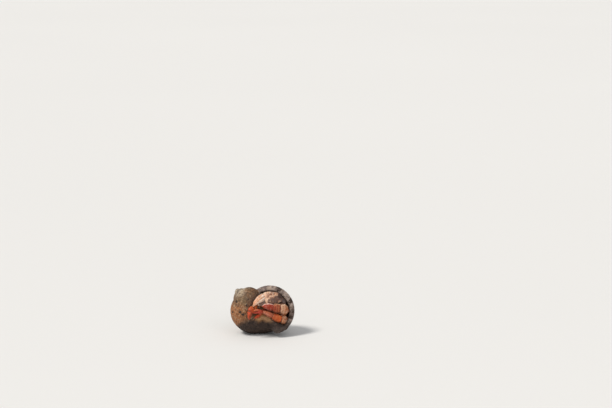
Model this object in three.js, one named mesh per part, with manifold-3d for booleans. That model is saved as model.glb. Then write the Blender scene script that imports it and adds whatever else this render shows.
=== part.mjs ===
// A small land hermit crab drawn back into a worn turban shell, life size.
// Units are millimetres and +Z is up. The shell's mouth faces -Y, and the crab
// looks out of it, so its left side is on +X.
import * as THREE from "three";
import Module from "manifold-3d";

const wasm = await Module();
wasm.setup();

const TURN = 2 * Math.PI;
const radians = THREE.MathUtils.degToRad;

// ---- the shell ----
// A tube winds round an axis and grows by one factor each turn.
const TUBE_RADIUS = 12.4; // of the tube at the mouth, across the axis
const TUBE_HEIGHT = 0.984; // its half height over its half width
const GROWTH_PER_TURN = 2.293;
const AXIS_OFFSET = 0.287; // from the axis to the tube's middle, in tube radii
const AXIS_DROP = 1.547; // from the apex down to the tube's middle, in tube radii
const LIP_LEAN = 0.277; // radians by which the lip's apex side runs ahead
const WHORLS = 3;
const BORE = 0.8; // the cavity's share of the tube
const HOLLOW = 0.7; // turns that the cavity reaches back from the mouth
const PILLAR_INSIDE = 0.16; // the axis pillar's radius in the cavity, in tube radii
const PILLAR_AT_MOUTH = 0.32; // and where it thickens into the inner lip
const AXIS_FILL = 0.055; // the pillar's slope inside the walls
const AXIS_CORE = 0.03; // how near the walls come to the axis, in tube radii
const EARLIER_WALL = 1.015; // of the whorl that bulges into the cavity
const EARLIER_TURNS = 0.91; // how far back from the mouth it lies
const LIP_ROUNDING = 0.3; // of the lip's corner farthest from the apex, in tube radii
const SHELL_HEADING = radians(-129.28);
const SHELL_TILT = radians(52.53);
const SHELL_SPIN = radians(122.14);

// ---- the crab ----
const FACE_TILT = radians(-14.6); // the mouth's face leans back
const MOUTH = new THREE.Vector3(14.3, -7.5, -11.4); // its middle, from the apex
const GAP = 0.07; // between pieces that touch in life
const FLAT_DEPTH = 0.34; // of the flats that the model rests on

// ---- making solids ----
function solidOf(points, index) {
  const build = (triangles) =>
    new wasm.Manifold(
      new wasm.Mesh({
        numProp: 3,
        vertProperties: new Float32Array(points.flatMap((p) => [p.x, p.y, p.z])),
        triVerts: new Uint32Array(triangles),
      }),
    );
  const solid = build(index);
  return solid.volume() > 0 ? solid : build([...index].reverse());
}

// A closed solid through a row of rings, with a fan over each end.
function solidThrough(rings) {
  const count = rings[0].length;
  const points = rings.flat();
  const middle = (r) =>
    r.reduce((sum, p) => sum.add(p), new THREE.Vector3()).divideScalar(count);
  const first = points.push(middle(rings[0])) - 1;
  const last = points.push(middle(rings.at(-1))) - 1;
  const end = (rings.length - 1) * count;
  const index = [];
  for (let j = 0; j < count; j++) {
    const k = (j + 1) % count;
    for (let i = 0; i < end; i += count)
      index.push(i + j, i + k, i + j + count, i + k, i + k + count, i + j + count);
    index.push(first, k, j, last, end + j, end + k);
  }
  return solidOf(points, index);
}

const joined = (solids) => solids.reduce((a, b) => a.add(b));
const biggest = (solid) =>
  solid.decompose().sort((a, b) => b.volume() - a.volume())[0];

// ---- the face's frame: x to the right, y into the shell, z up ----
const face = new THREE.Matrix4()
  .makeRotationX(FACE_TILT)
  .multiply(new THREE.Matrix4().makeTranslation(MOUTH.x, MOUTH.y, MOUTH.z));
const at = ([x, y, z]) => new THREE.Vector3(x, y, z);

// A value along a row of evenly spaced ones, eased between neighbours.
function along(values, f) {
  const i = Math.min(values.length - 2, Math.floor(f * (values.length - 1)));
  const u = f * (values.length - 1) - i;
  return THREE.MathUtils.lerp(values[i], values[i + 1], u * u * (3 - 2 * u));
}

// An oval ring across the direction `ahead`, from a centre in the face's frame.
function ringRound(centre, ahead, wide, high, sides) {
  const side = new THREE.Vector3(0, 0, 1).cross(ahead).normalize();
  if (side.lengthSq() < 0.5) side.set(1, 0, 0);
  const over = ahead.clone().cross(side);
  return Array.from({ length: sides }, (_, j) => {
    const t = (j / sides) * TURN;
    return centre
      .clone()
      .addScaledVector(side, wide * Math.cos(t))
      .addScaledVector(over, high * Math.sin(t))
      .applyMatrix4(face);
  });
}

// ---- the shell's tube ----
const lie = new THREE.Matrix4()
  .makeRotationZ(SHELL_HEADING)
  .multiply(new THREE.Matrix4().makeRotationX(SHELL_TILT))
  .multiply(new THREE.Matrix4().makeRotationZ(SHELL_SPIN));

// A point of the tube: growth angle (0 at the mouth, negative inside), distance out
// from the axis and height above the tube's middle, both in tube radii.
function inTube(growth, out, up) {
  const scale = TUBE_RADIUS * GROWTH_PER_TURN ** (growth / TURN);
  return new THREE.Vector3(
    out * scale * Math.cos(-growth),
    out * scale * Math.sin(-growth),
    (up - AXIS_DROP) * scale,
  ).applyMatrix4(lie);
}

// A ring of the tube, kept at least `core` away from the axis.
function whorlRing(growth, share, count, core) {
  const rounding = LIP_ROUNDING * THREE.MathUtils.smoothstep(growth, -1, 0);
  return Array.from({ length: count }, (_, i) => {
    const around = (i / count) * TURN;
    const lean = LIP_LEAN * Math.sin(around) * Math.max(0, 1 + growth / Math.PI);
    const inner = core + rounding * Math.max(0, -Math.sin(around)) ** 4;
    const out = Math.max(inner, AXIS_OFFSET + share * Math.cos(around));
    return inTube(growth + lean, out, share * TUBE_HEIGHT * Math.sin(around));
  });
}

// The tube from one step to another: short lengths that overlap by a step, because
// one long length would cross itself at the axis.
const STEP = TURN / 22;
const STEPS_PER_LENGTH = 4;
function tube(from, to, share, count, coreAt) {
  const rings = [];
  for (let i = from; i <= to; i++)
    rings.push(whorlRing(i * STEP, share, count, coreAt(i * STEP)));
  const lengths = [];
  for (let i = 0; i + 1 < rings.length; i += STEPS_PER_LENGTH)
    lengths.push(solidThrough(rings.slice(i, i + STEPS_PER_LENGTH + 2)));
  return joined(lengths);
}

const nearAxis = () => AXIS_CORE;
const insidePillar = (growth) =>
  PILLAR_INSIDE +
  (PILLAR_AT_MOUTH - PILLAR_INSIDE) * THREE.MathUtils.smoothstep(growth, -1.6, 0.2);
const stepsBack = (turns) => -Math.round((turns * TURN) / STEP);

// The inner lip: a smooth rope of shell that arches over the foot of the pillar.
const INNER_LIP = [
  { at: [-6.2, 0.3, -4.4], radius: 0.8 },
  { at: [-4.4, 0.2, -2.6], radius: 1.1 },
  { at: [-2.4, 0.1, -1.1], radius: 1.3 },
  { at: [-0.3, 0.2, -2.0], radius: 1.35 },
  { at: [2.0, 0.4, -3.9], radius: 1.4 },
  { at: [4.6, 0.2, -5.4], radius: 1.4 },
  { at: [7.4, 0.0, -6.1], radius: 1.0 },
];
function innerLip(grow) {
  const line = new THREE.CatmullRomCurve3(INNER_LIP.map(({ at: p }) => at(p)));
  const toTheRight = at([1, 0, 0]);
  const RINGS = 13;
  return solidThrough(
    Array.from({ length: RINGS }, (_, i) => {
      const f = i / (RINGS - 1);
      const radius = along(INNER_LIP.map((p) => p.radius), f) + grow;
      return ringRound(line.getPoint(f), toTheRight, radius, radius, 10);
    }),
  );
}

// The shell, or one with walls thicker by `more` tube radii on every side.
function shellWith(more) {
  const pillar = solidThrough(
    [-1, -18].map((z) =>
      Array.from({ length: 8 }, (_, i) => {
        const a = (i / 8) * TURN;
        const r = AXIS_FILL * z;
        return new THREE.Vector3(r * Math.cos(a), r * Math.sin(a), z).applyMatrix4(lie);
      }),
    ),
  );
  const outside = tube(stepsBack(WHORLS), 0, 1 + more, 20, nearAxis).add(pillar);
  const cavity = tube(stepsBack(HOLLOW), 1, BORE - more, 18, insidePillar);
  const back = stepsBack(EARLIER_TURNS);
  const earlier = tube(stepsBack(2), back, EARLIER_WALL + more, 20, nearAxis);
  const coil = outside.subtract(cavity.subtract(earlier));
  return biggest(coil.add(innerLip(more * TUBE_RADIUS)).simplify(0.01));
}

// ---- the crab's pieces ----
const pieces = []; // { name, solid, colour }

// One piece of a limb, from joint to joint. `high` and `wide` are its half sizes from
// end to end, `bow` bends its middle, and `grow` swells it on every side.
function limbSolid({ from, to, high, wide, bow = [0, 0, 0], sides = 8, rings = 5 }, grow) {
  const a = at(from);
  const b = at(to);
  const way = b.clone().sub(a).normalize();
  a.addScaledVector(way, -grow);
  b.addScaledVector(way, grow);
  const middle = a.clone().add(b).multiplyScalar(0.5).addScaledVector(at(bow), 2);
  const curve = new THREE.QuadraticBezierCurve3(a, middle, b);
  const loops = Array.from({ length: rings }, (_, i) => {
    const f = i / (rings - 1);
    const halfWide = along(wide, f) + grow;
    const halfHigh = along(high, f) + grow;
    return ringRound(curve.getPoint(f), curve.getTangent(f), halfWide, halfHigh, sides);
  });
  return solidThrough(loops);
}

// Adds a piece, cut back where pieces already there leave no room.
function add(name, colour, solid, swollen) {
  for (const other of pieces) {
    const a = other.swollen.boundingBox();
    const b = solid.boundingBox();
    if ([0, 1, 2].every((k) => a.min[k] < b.max[k] && b.min[k] < a.max[k]))
      solid = solid.subtract(other.swollen);
  }
  solid = biggest(solid.simplify(0.004));
  pieces.push({ name, solid, swollen, colour });
}

function limb(name, colour, shape) {
  add(name, colour, limbSolid(shape, 0), limbSolid(shape, GAP));
}

const SHELL_TONE = 0x8a7a64;
const CREAM = 0xd9c3a0;
const RED = 0xc65a3c;
const ORANGE = 0xd08a50;
const PINK = 0xc9605c;
const SOFT = 0x9a6a58;
const DARK = 0x1a1410;

add("shell", SHELL_TONE, shellWith(0), shellWith(GAP / TUBE_RADIUS));

// The large left claw lies across the top of the mouth, its fingers towards -X.
const palm = {
  from: [6.4, -0.7, 6.4],
  to: [-2.6, -3.4, 6.2],
  bow: [0, -0.7, 0.4],
  high: [1.6, 2.7, 3.0, 2.5],
  wide: [1.3, 2.1, 2.2, 1.5],
  sides: 12,
  rings: 7,
};
const fixed = {
  from: [-1.2, -3.1, 5.4],
  to: [-4.4, -5.5, 3.5],
  bow: [0, -0.3, -0.2],
  high: [1.4, 1.1, 0.35],
  wide: [1.2, 0.9, 0.35],
};
add(
  "large_claw_palm",
  CREAM,
  limbSolid(palm, 0).add(limbSolid(fixed, 0)),
  limbSolid(palm, GAP).add(limbSolid(fixed, GAP)),
);
limb("large_claw_finger", CREAM, {
  from: [-1.4, -4.0, 7.4],
  to: [-6.5, -6.3, 2.8],
  bow: [-0.5, -0.3, 0.3],
  high: [1.6, 1.6, 1.1, 0.35],
  wide: [1.1, 1.3, 0.95, 0.35],
  rings: 6,
});
limb("large_claw_wrist", CREAM, {
  from: [6.3, 2.6, 4.6],
  to: [6.0, -0.6, 5.8],
  high: [1.2, 2.0, 1.5],
  wide: [1.3, 2.0, 1.5],
});

// The head: two eyes on stalks and two feelers look out below the claw's fingers.
limb("left_eye", DARK, {
  from: [-3.0, -4.7, 1.95],
  to: [-3.5, -5.6, 1.9],
  high: [0.35, 0.55, 0.3],
  wide: [0.3, 0.42, 0.25],
});
limb("right_eye", DARK, {
  from: [-4.0, -5.0, 2.6],
  to: [-4.5, -6.0, 2.65],
  high: [0.35, 0.55, 0.3],
  wide: [0.3, 0.42, 0.25],
});
limb("left_eyestalk", CREAM, {
  from: [-1.6, -0.9, 2.1],
  to: [-3.0, -4.6, 1.95],
  high: [0.6, 0.45, 0.45],
  wide: [0.5, 0.36, 0.38],
  rings: 4,
});
limb("right_eyestalk", CREAM, {
  from: [-2.2, -1.0, 2.4],
  to: [-4.0, -4.95, 2.6],
  high: [0.6, 0.45, 0.45],
  wide: [0.5, 0.36, 0.38],
  rings: 4,
});

// Walking legs: joints from the tip inwards, and half sizes along each segment. The
// left pair, which closes the shell's mouth, is taller for its width by `tall`.
const SEGMENTS = ["dactyl", "propodus", "carpus", "merus"];
const TONES = [PINK, RED, ORANGE, RED];
const LEG_SHAPES = [
  { high: [0.3, 0.62, 0.9, 0.8], wide: [0.28, 0.55, 0.75, 0.7], bow: [0, -0.2, 0.2] },
  { high: [0.95, 1.2, 1.1], wide: [0.8, 1.0, 0.9] },
  { high: [1.1, 1.5, 1.1], wide: [0.9, 1.1, 0.9] },
  { high: [1.0, 1.3, 1.0], wide: [0.8, 1.0, 0.8] },
];
function walkingLeg(name, size, tall, joints) {
  SEGMENTS.forEach((segment, i) => {
    const scaled = (row, by) => row.map((v) => v * by);
    limb(`${name}_${segment}`, TONES[i], {
      ...LEG_SHAPES[i],
      from: joints[i],
      to: joints[i + 1],
      high: scaled(LEG_SHAPES[i].high, size * tall),
      wide: scaled(LEG_SHAPES[i].wide, size),
    });
  });
}

walkingLeg("left_leg_1", 1.35, 1.25, [
  [-2.8, -5.1, 3.1],
  [2.2, -3.5, 2.4],
  [5.1, -2.4, 2.05],
  [8.4, 0.2, 1.3],
  [3.2, 4.8, 1.2],
]);
walkingLeg("left_leg_2", 1.2, 1.15, [
  [-3.0, -4.2, 1.0],
  [1.9, -2.7, -1.1],
  [5.7, -1.6, -2.6],
  [8.0, 0.5, -2.8],
  [3.8, 4.8, -1.2],
]);

// The small right claw sits left of the middle, in front of the inner lip.
const smallPalm = {
  from: [-2.4, -3.6, 0.8],
  to: [-4.6, -5.9, 0.8],
  high: [0.8, 1.1, 0.95],
  wide: [0.7, 1.0, 0.8],
};
const smallFixed = {
  from: [-4.1, -5.5, 0.5],
  to: [-6.3, -7.3, 0.2],
  high: [0.5, 0.45, 0.28],
  wide: [0.5, 0.42, 0.28],
  sides: 6,
};
add(
  "small_claw_palm",
  PINK,
  limbSolid(smallPalm, 0).add(limbSolid(smallFixed, 0)),
  limbSolid(smallPalm, GAP).add(limbSolid(smallFixed, GAP)),
);
limb("small_claw_finger", PINK, {
  from: [-4.3, -5.9, 1.5],
  to: [-6.3, -7.4, 0.9],
  bow: [0, -0.1, 0.15],
  high: [0.45, 0.45, 0.28],
  wide: [0.45, 0.42, 0.28],
  sides: 6,
});
limb("small_claw_wrist", PINK, {
  from: [-0.3, -1.4, 1.5],
  to: [-2.5, -3.7, 0.8],
  high: [0.7, 0.95, 0.8],
  wide: [0.6, 0.85, 0.7],
  rings: 4,
});
limb("small_claw_arm", RED, {
  from: [0.6, 3.2, 1.9],
  to: [-0.2, -1.2, 1.6],
  high: [0.7, 0.9, 0.7],
  wide: [0.6, 0.8, 0.6],
  rings: 4,
});

walkingLeg("right_leg_1", 1.25, 1.0, [
  [-8.2, -5.0, -2.9],
  [-7.7, -5.9, 0.7],
  [-6.4, -5.2, 2.1],
  [-3.9, -2.3, 2.2],
  [-0.9, 3.8, 2.0],
]);
walkingLeg("right_leg_2", 0.8, 1.0, [
  [-5.9, -5.0, -2.3],
  [-3.8, -3.4, -0.9],
  [-3.3, -3.1, 0.5],
  [-0.9, -1.7, 0.8],
  [2.4, 4.4, 0.6],
]);

limb("large_claw_arm", RED, {
  from: [1.8, 4.6, 2.6],
  to: [6.1, 3.4, 4.2],
  high: [0.9, 1.6, 1.3],
  wide: [0.9, 1.4, 1.2],
});

// Each feeler is a short stem and a long lash.
const FEELERS = {
  left: { root: [1.6, 0.0, 1.9], elbow: [-0.2, -4.2, 1.6], tip: [6.8, -2.5, -0.55] },
  right: { root: [0.7, 0.6, 0.6], elbow: [0.5, -2.2, 1.1], tip: [4.6, -0.2, 0.2] },
};
for (const [side, { root, elbow, tip }] of Object.entries(FEELERS)) {
  limb(`${side}_feeler_lash`, ORANGE, {
    from: elbow,
    to: tip,
    bow: [0, -0.3, 0.15],
    high: [0.32, 0.29, 0.27],
    wide: [0.32, 0.29, 0.27],
    sides: 6,
    rings: 7,
  });
  limb(`${side}_feeler_stem`, ORANGE, {
    from: root,
    to: elbow,
    high: [0.5, 0.6, 0.45],
    wide: [0.45, 0.55, 0.4],
    rings: 4,
  });
}
const SHORT_FEELERS = {
  left: { from: [0.9, 0.6, 3.2], to: [0.5, -1.3, 4.2] },
  right: { from: [-0.9, 0.2, 3.4], to: [-1.7, -1.6, 4.4] },
};
for (const [side, ends] of Object.entries(SHORT_FEELERS))
  limb(`${side}_short_feeler`, ORANGE, {
    ...ends,
    high: [0.4, 0.3, 0.27],
    wide: [0.4, 0.3, 0.27],
    sides: 6,
    rings: 4,
  });
const MOUTHPARTS = {
  left: { from: [3.0, 3.0, -1.0], to: [2.9, -0.6, -2.2] },
  right: { from: [2.0, 2.6, -1.2], to: [1.7, -0.8, -1.2] },
};
for (const [side, ends] of Object.entries(MOUTHPARTS))
  limb(`${side}_mouthpart`, ORANGE, {
    ...ends,
    high: [0.6, 0.75, 0.5],
    wide: [0.55, 0.65, 0.45],
    rings: 4,
  });

// The body, out of sight: shield, thorax, two small hind pairs of legs, and the soft
// abdomen that follows the shell's coil to the tail.
limb("shield", ORANGE, {
  from: [-0.8, 0.9, 3.4],
  to: [2.2, 6.4, 4.8],
  high: [0.8, 1.3, 1.2],
  wide: [1.2, 1.9, 1.8],
  sides: 10,
});
const HIND_LEGS = {
  left_leg_3: { from: [2.0, 6.9, -0.8], to: [3.6, 7.5, -3.4] },
  right_leg_3: { from: [-0.8, 6.6, 3.2], to: [-2.2, 7.4, 5.8] },
  left_leg_4: { from: [0.8, 8.2, -1.4], to: [0.8, 9.6, -4.2] },
  right_leg_4: { from: [-1.4, 8.2, 2.6], to: [-3.4, 9.2, 4.8] },
};
for (const [name, ends] of Object.entries(HIND_LEGS))
  limb(name, RED, {
    ...ends,
    bow: [0, 0.3, 0],
    high: [0.5, 0.6, 0.4],
    wide: [0.5, 0.55, 0.4],
    sides: 6,
    rings: 4,
  });
limb("thorax", SOFT, {
  from: [1.6, 4.6, 1.6],
  to: [-0.9, 8.2, 0.4],
  high: [1.4, 2.3, 1.7],
  wide: [1.6, 2.4, 1.7],
  sides: 10,
});

const ABDOMEN = { out: 0.62, wide: 0.3, high: 0.4, from: radians(-76), to: radians(-218) };
function abdomenWith(grow) {
  const RINGS = 9;
  return solidThrough(
    Array.from({ length: RINGS }, (_, i) => {
      const f = i / (RINGS - 1);
      const growth = THREE.MathUtils.lerp(ABDOMEN.from, ABDOMEN.to, f);
      const share = 0.65 + 0.6 * Math.sin(Math.PI * Math.min(1, f + 0.1)) - 0.3 * f;
      return Array.from({ length: 8 }, (_, j) => {
        const t = (j / 8) * TURN;
        const wide = ABDOMEN.wide * share + grow;
        const high = ABDOMEN.high * share + grow;
        return inTube(growth, ABDOMEN.out + wide * Math.cos(t), high * Math.sin(t));
      });
    }),
  );
}
add("abdomen", SOFT, abdomenWith(0), abdomenWith(GAP / 8));
limb("tail", ORANGE, {
  from: [-10.7, 1.1, 1.0],
  to: [-10.4, 0.5, 2.8],
  high: [0.5, 0.7, 0.45],
  wide: [0.7, 1.1, 0.6],
  sides: 6,
  rings: 4,
});

// ---- standing it on its flat, with the origin under its middle ----
const box = pieces.map((p) => p.solid.boundingBox());
const low = [0, 1, 2].map((k) => Math.min(...box.map((b) => b.min[k])));
const high = [0, 1, 2].map((k) => Math.max(...box.map((b) => b.max[k])));
const floor = low[2] + FLAT_DEPTH;
const shift = [-(low[0] + high[0]) / 2, -(low[1] + high[1]) / 2, -floor];
const model = new THREE.Group();
for (const { name, solid, colour } of pieces) {
  const cut = solid.trimByPlane([0, 0, 1], floor).translate(shift);
  const { vertProperties, triVerts, numProp } = cut.getMesh();
  const place = new Float32Array((vertProperties.length / numProp) * 3);
  for (let i = 0; i < place.length; i++)
    place[i] = vertProperties[numProp * Math.floor(i / 3) + (i % 3)];
  const geometry = new THREE.BufferGeometry();
  geometry.setAttribute("position", new THREE.BufferAttribute(place, 3));
  geometry.setIndex(new THREE.BufferAttribute(triVerts, 1));
  const material = new THREE.MeshStandardMaterial({ color: colour });
  const mesh = new THREE.Mesh(geometry, material);
  mesh.name = name;
  model.add(mesh);
}

export default model;
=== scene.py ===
# %% [markdown]
# # A land hermit crab drawn back into a worn turban shell
#
# The crab sits with its large left claw and its left legs closed over the mouth of
# the shell like a door. Everything is built round a packed model that gives each
# part's place and size in metres, with +Z up and the shell's mouth towards -Y.
# The first step loads that model, and a helper reads the box of any of its parts.

import bpy
import numpy as np
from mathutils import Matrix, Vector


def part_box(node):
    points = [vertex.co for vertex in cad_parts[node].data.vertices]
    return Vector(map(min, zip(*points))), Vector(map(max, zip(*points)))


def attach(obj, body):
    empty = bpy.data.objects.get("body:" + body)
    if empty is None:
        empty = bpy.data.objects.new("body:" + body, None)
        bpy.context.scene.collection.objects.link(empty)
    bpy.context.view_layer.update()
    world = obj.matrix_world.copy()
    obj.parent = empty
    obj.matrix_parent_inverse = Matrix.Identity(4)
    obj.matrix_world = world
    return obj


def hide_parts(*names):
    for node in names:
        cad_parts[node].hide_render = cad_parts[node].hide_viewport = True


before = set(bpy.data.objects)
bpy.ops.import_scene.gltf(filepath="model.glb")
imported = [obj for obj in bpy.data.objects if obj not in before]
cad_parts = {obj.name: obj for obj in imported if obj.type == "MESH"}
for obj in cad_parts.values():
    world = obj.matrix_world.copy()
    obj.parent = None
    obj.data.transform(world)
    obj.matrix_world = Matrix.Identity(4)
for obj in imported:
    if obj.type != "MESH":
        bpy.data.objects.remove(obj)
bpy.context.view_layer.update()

# %% [markdown]
# All lengths could be in metres, as in the packed model. An animal this small reads
# more easily in millimetres, so sizes become metres only when a mesh is made. Two
# landmarks then place everything. The apex is the shell's pointed top. The face is a
# frame that leans back with the shell's mouth: x to the right, y into the shell, z up.

# %% Units and the two landmarks
MM = 0.001
TURN = 2 * np.pi
APEX_SHARE = np.array([0.07451, 0.74791, 0.87658])  # of the packed shell's box
MOUTH = np.array([14.3, -7.5, -11.4])  # from the apex to the mouth, along the face's axes
FACE_TILT = np.radians(-14.6)

shell_low, shell_high = (np.array(corner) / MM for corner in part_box("shell"))
APEX = shell_low + APEX_SHARE * (shell_high - shell_low)


def turned(axis, angle):
    """The matrix that turns a column vector about one of the three axes."""
    c, s = np.cos(angle), np.sin(angle)
    i, j = [(1, 2), (2, 0), (0, 1)]["xyz".index(axis)]
    matrix = np.eye(3)
    matrix[i, i], matrix[i, j], matrix[j, i], matrix[j, j] = c, -s, s, c
    return matrix


FACE = turned("x", FACE_TILT)


def from_face(points):
    """Points of the face frame, as points of the model: tilted about x, then moved."""
    return (np.asarray(points, float) + MOUTH) @ FACE.T + APEX


def to_face(points):
    """Points of the model, as points of the face frame: the same way back."""
    return (points - APEX) @ FACE - MOUTH


print("apex", APEX.round(2), "middle of the mouth", from_face([0, 0, 0]).round(2))

# %% [markdown]
# A marking on a shell or a claw seldom has a hard edge. A share that eases from 0 to 1
# says how much of it lies at each point, and a round patch of it is placed by the face
# frame, as a painter would place a dab of colour from the front.

# %% Easing and patches
def smooth_step(x, low=0.0, high=1.0):
    """0 below low, 1 above high, and 3t^2 - 2t^3 between them."""
    t = np.clip((x - low) / (high - low), 0, 1)
    return t * t * (3 - 2 * t)


def patch_at(points, x, z, reach):
    """A share for markings, from the face frame: 1 about (x, z) as seen along y, easing
    to 0 at `reach` from it."""
    there = to_face(points)
    away = np.hypot(there[..., 0] - x, there[..., 2] - z)
    return smooth_step(reach - away, 0, 0.6 * reach)


print("a patch's share at its middle, half way and edge:",
      patch_at(from_face([[0, 0, 0], [1, 0, 0], [2, 0, 0]]), 0, 0, 2.0).round(2))

# %% [markdown]
# ## From arrays to a mesh
#
# A mesh here is always an array of points and arrays of faces, worked out whole. It
# could be built corner by corner, which is slow for so many points. Instead one
# helper hands all the arrays to Blender in bulk, with the values that the materials
# need at each point. It also hides the packed parts that the new piece stands in
# for. Most pieces are closed tubes, so their faces come from one function too.

# %% The faces of a closed tube
def closed_grid(rows, columns):
    """The faces of a tube of rows of points, closed by a fan to a point at each end."""
    start = np.arange(rows - 1)[:, None] * columns
    one = np.arange(columns)[None, :]
    two = (one + 1) % columns
    sides = [start + one, start + two, start + columns + two, start + columns + one]
    quads = np.stack(sides, -1).reshape(-1, 4)
    first, last = rows * columns, rows * columns + 1
    end = (rows - 1) * columns
    near = np.stack([np.full(columns, first), two[0], one[0]], -1)
    far = np.stack([np.full(columns, last), end + one[0], end + two[0]], -1)
    return [quads, near, far]


print("a tube of 3 rings of 4 has", sum(map(len, closed_grid(3, 4))), "faces")


# %% Make a piece from arrays
def make_piece(name, points, faces, finish, nodes=(), values=None, bake_map=None):
    """One shaded mesh from points in millimetres and arrays of faces. A bake map gives
    each point's place on an unwrap."""
    mesh = bpy.data.meshes.new(name)
    mesh.vertices.add(len(points))
    mesh.vertices.foreach_set("co", (points * MM).astype(np.float32).ravel())
    corners = np.concatenate([block.ravel() for block in faces])
    sizes = np.concatenate([np.full(len(block), block.shape[1]) for block in faces])
    mesh.loops.add(len(corners))
    mesh.loops.foreach_set("vertex_index", corners.astype(np.int32))
    mesh.polygons.add(len(sizes))
    starts = np.concatenate([[0], np.cumsum(sizes)[:-1]])
    mesh.polygons.foreach_set("loop_start", starts.astype(np.int32))
    mesh.update(calc_edges=True)
    mesh.validate()
    for key, value in (values or {}).items():
        layer = mesh.attributes.new(key, "FLOAT", "POINT")
        layer.data.foreach_set("value", np.ravel(value).astype(np.float32))
    if bake_map is not None:
        layer = mesh.uv_layers.new(name="OFBake")
        layer.data.foreach_set("uv", bake_map[corners].astype(np.float32).ravel())
    mesh.shade_smooth()
    mesh.materials.append(finish)
    piece = bpy.data.objects.new(name, mesh)
    bpy.context.scene.collection.objects.link(piece)
    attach(piece, "root")
    if nodes:
        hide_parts(*nodes)


# %% [markdown]
# ## Lumps and grains
#
# Nothing on a crab or a shell is quite even. A sculpting brush could roughen it by
# hand. Here the roughness is arithmetic, so that it is the same on each run. Soft
# lumps come from random numbers on a lattice, blended between its corners. Grains
# come from one jittered point in each cell of a lattice: the distance to the nearest
# of them gives round granules, like those on a crab's claw.

# %% A random number for each cell, and soft lumps
AXIS_MIXERS = [np.uint64(n) for n in (73856093, 19349663, 83492791)]


def lattice_number(cell, seed):
    """A number from 0 to 1 for each cell, by mixing its three whole numbers' bits."""
    x, y, z = (cell[..., k].astype(np.int64).astype(np.uint64) for k in range(3))
    mixed = x * AXIS_MIXERS[0] ^ y * AXIS_MIXERS[1] ^ z * AXIS_MIXERS[2]
    mixed = mixed ^ np.uint64(seed * 2654435761 % 2**32)
    mixed = (mixed ^ (mixed >> np.uint64(13))) * np.uint64(1274126177)
    mixed = (mixed ^ (mixed >> np.uint64(16))) * np.uint64(2246822519)
    return ((mixed >> np.uint64(8)) & np.uint64(0xFFFFFF)).astype(float) / 0xFFFFFF


def lumps(points, size, seed, octaves=2):
    """Smooth numbers about -1 to 1: lattice values eased along the three axes, with
    each finer octave at half the size and half the weight."""
    total = np.zeros(points.shape[:-1])
    for octave in range(octaves):
        scaled = points * 2.0**octave / size
        cell = np.floor(scaled)
        part = scaled - cell
        part = part * part * (3 - 2 * part)
        value = np.zeros(points.shape[:-1])
        for corner in np.ndindex(2, 2, 2):
            weight = np.prod(np.where(corner, part, 1 - part), axis=-1)
            value += weight * lattice_number(cell + corner, seed + octave)
        total += (2 * value - 1) * 0.5**octave
    return total / (2 - 0.5 ** (octaves - 1))


test_points = np.random.default_rng(1).uniform(-9, 9, (4000, 3))
print("lumps reach", np.abs(lumps(test_points, 2.0, 3)).max().round(2))


# %% Grains
def grains(points, size, seed):
    """Distance to the nearest jittered lattice point, in lattice cells, and that
    point's own random number."""
    scaled = points / size
    cell = np.floor(scaled)
    nearest = np.full(points.shape[:-1], 9.0)
    own = np.zeros(points.shape[:-1])
    for step in np.ndindex(3, 3, 3):
        there = cell + step - 1
        jitter = [lattice_number(there, seed + k) for k in range(3)]
        away = np.linalg.norm(there + np.stack(jitter, -1) - scaled, axis=-1)
        own = np.where(away < nearest, jitter[0], own)
        nearest = np.minimum(nearest, away)
    return nearest, own


print("grains are", grains(test_points, 1.0, 5)[0].mean().round(2), "cells apart")

# %% [markdown]
# ## A small language for materials
#
# A finish is a sum of layers: a ground colour, blotches, grain and wear. Written as
# nodes one by one it is hard to read, so a socket is wrapped in a class whose
# operators add Math nodes, and a finish can say `1 - mask` or `bands * wear`.
# Every other node comes from one method, which takes the node's settings first and
# then the values or links of its sockets.

# %% Sockets that can be added and multiplied
class Wire:
    """An output socket. Its operators add Math nodes and give back their outputs."""

    def __init__(self, finish, socket):
        """Keeps the material's tree builder with the socket."""
        self.finish = finish
        self.socket = socket

    def maths(self, operation, *inputs):
        """One Math node on wires or numbers."""
        return self.finish.node("ShaderNodeMath", {"operation": operation}, inputs)

    def __add__(self, other):
        """self + other, and other + self."""
        return self.maths("ADD", self, other)

    def __sub__(self, other):
        """self - other."""
        return self.maths("SUBTRACT", self, other)

    def __rsub__(self, other):
        """other - self, so that 1 - mask works."""
        return self.maths("SUBTRACT", other, self)

    def __mul__(self, other):
        """self * other, and other * self."""
        return self.maths("MULTIPLY", self, other)

    __radd__ = __add__
    __rmul__ = __mul__


print("a number may also stand first in", [name for name in vars(Wire) if name.startswith("__r")])

# %% [markdown]
# A finish is one material, with the few kinds of layer that shells and crabs need.
# Each of its methods adds one node and gives back a wire, so that a coat of paint is
# one line: mix this colour over that one, by a share between two levels of a noise.

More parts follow.
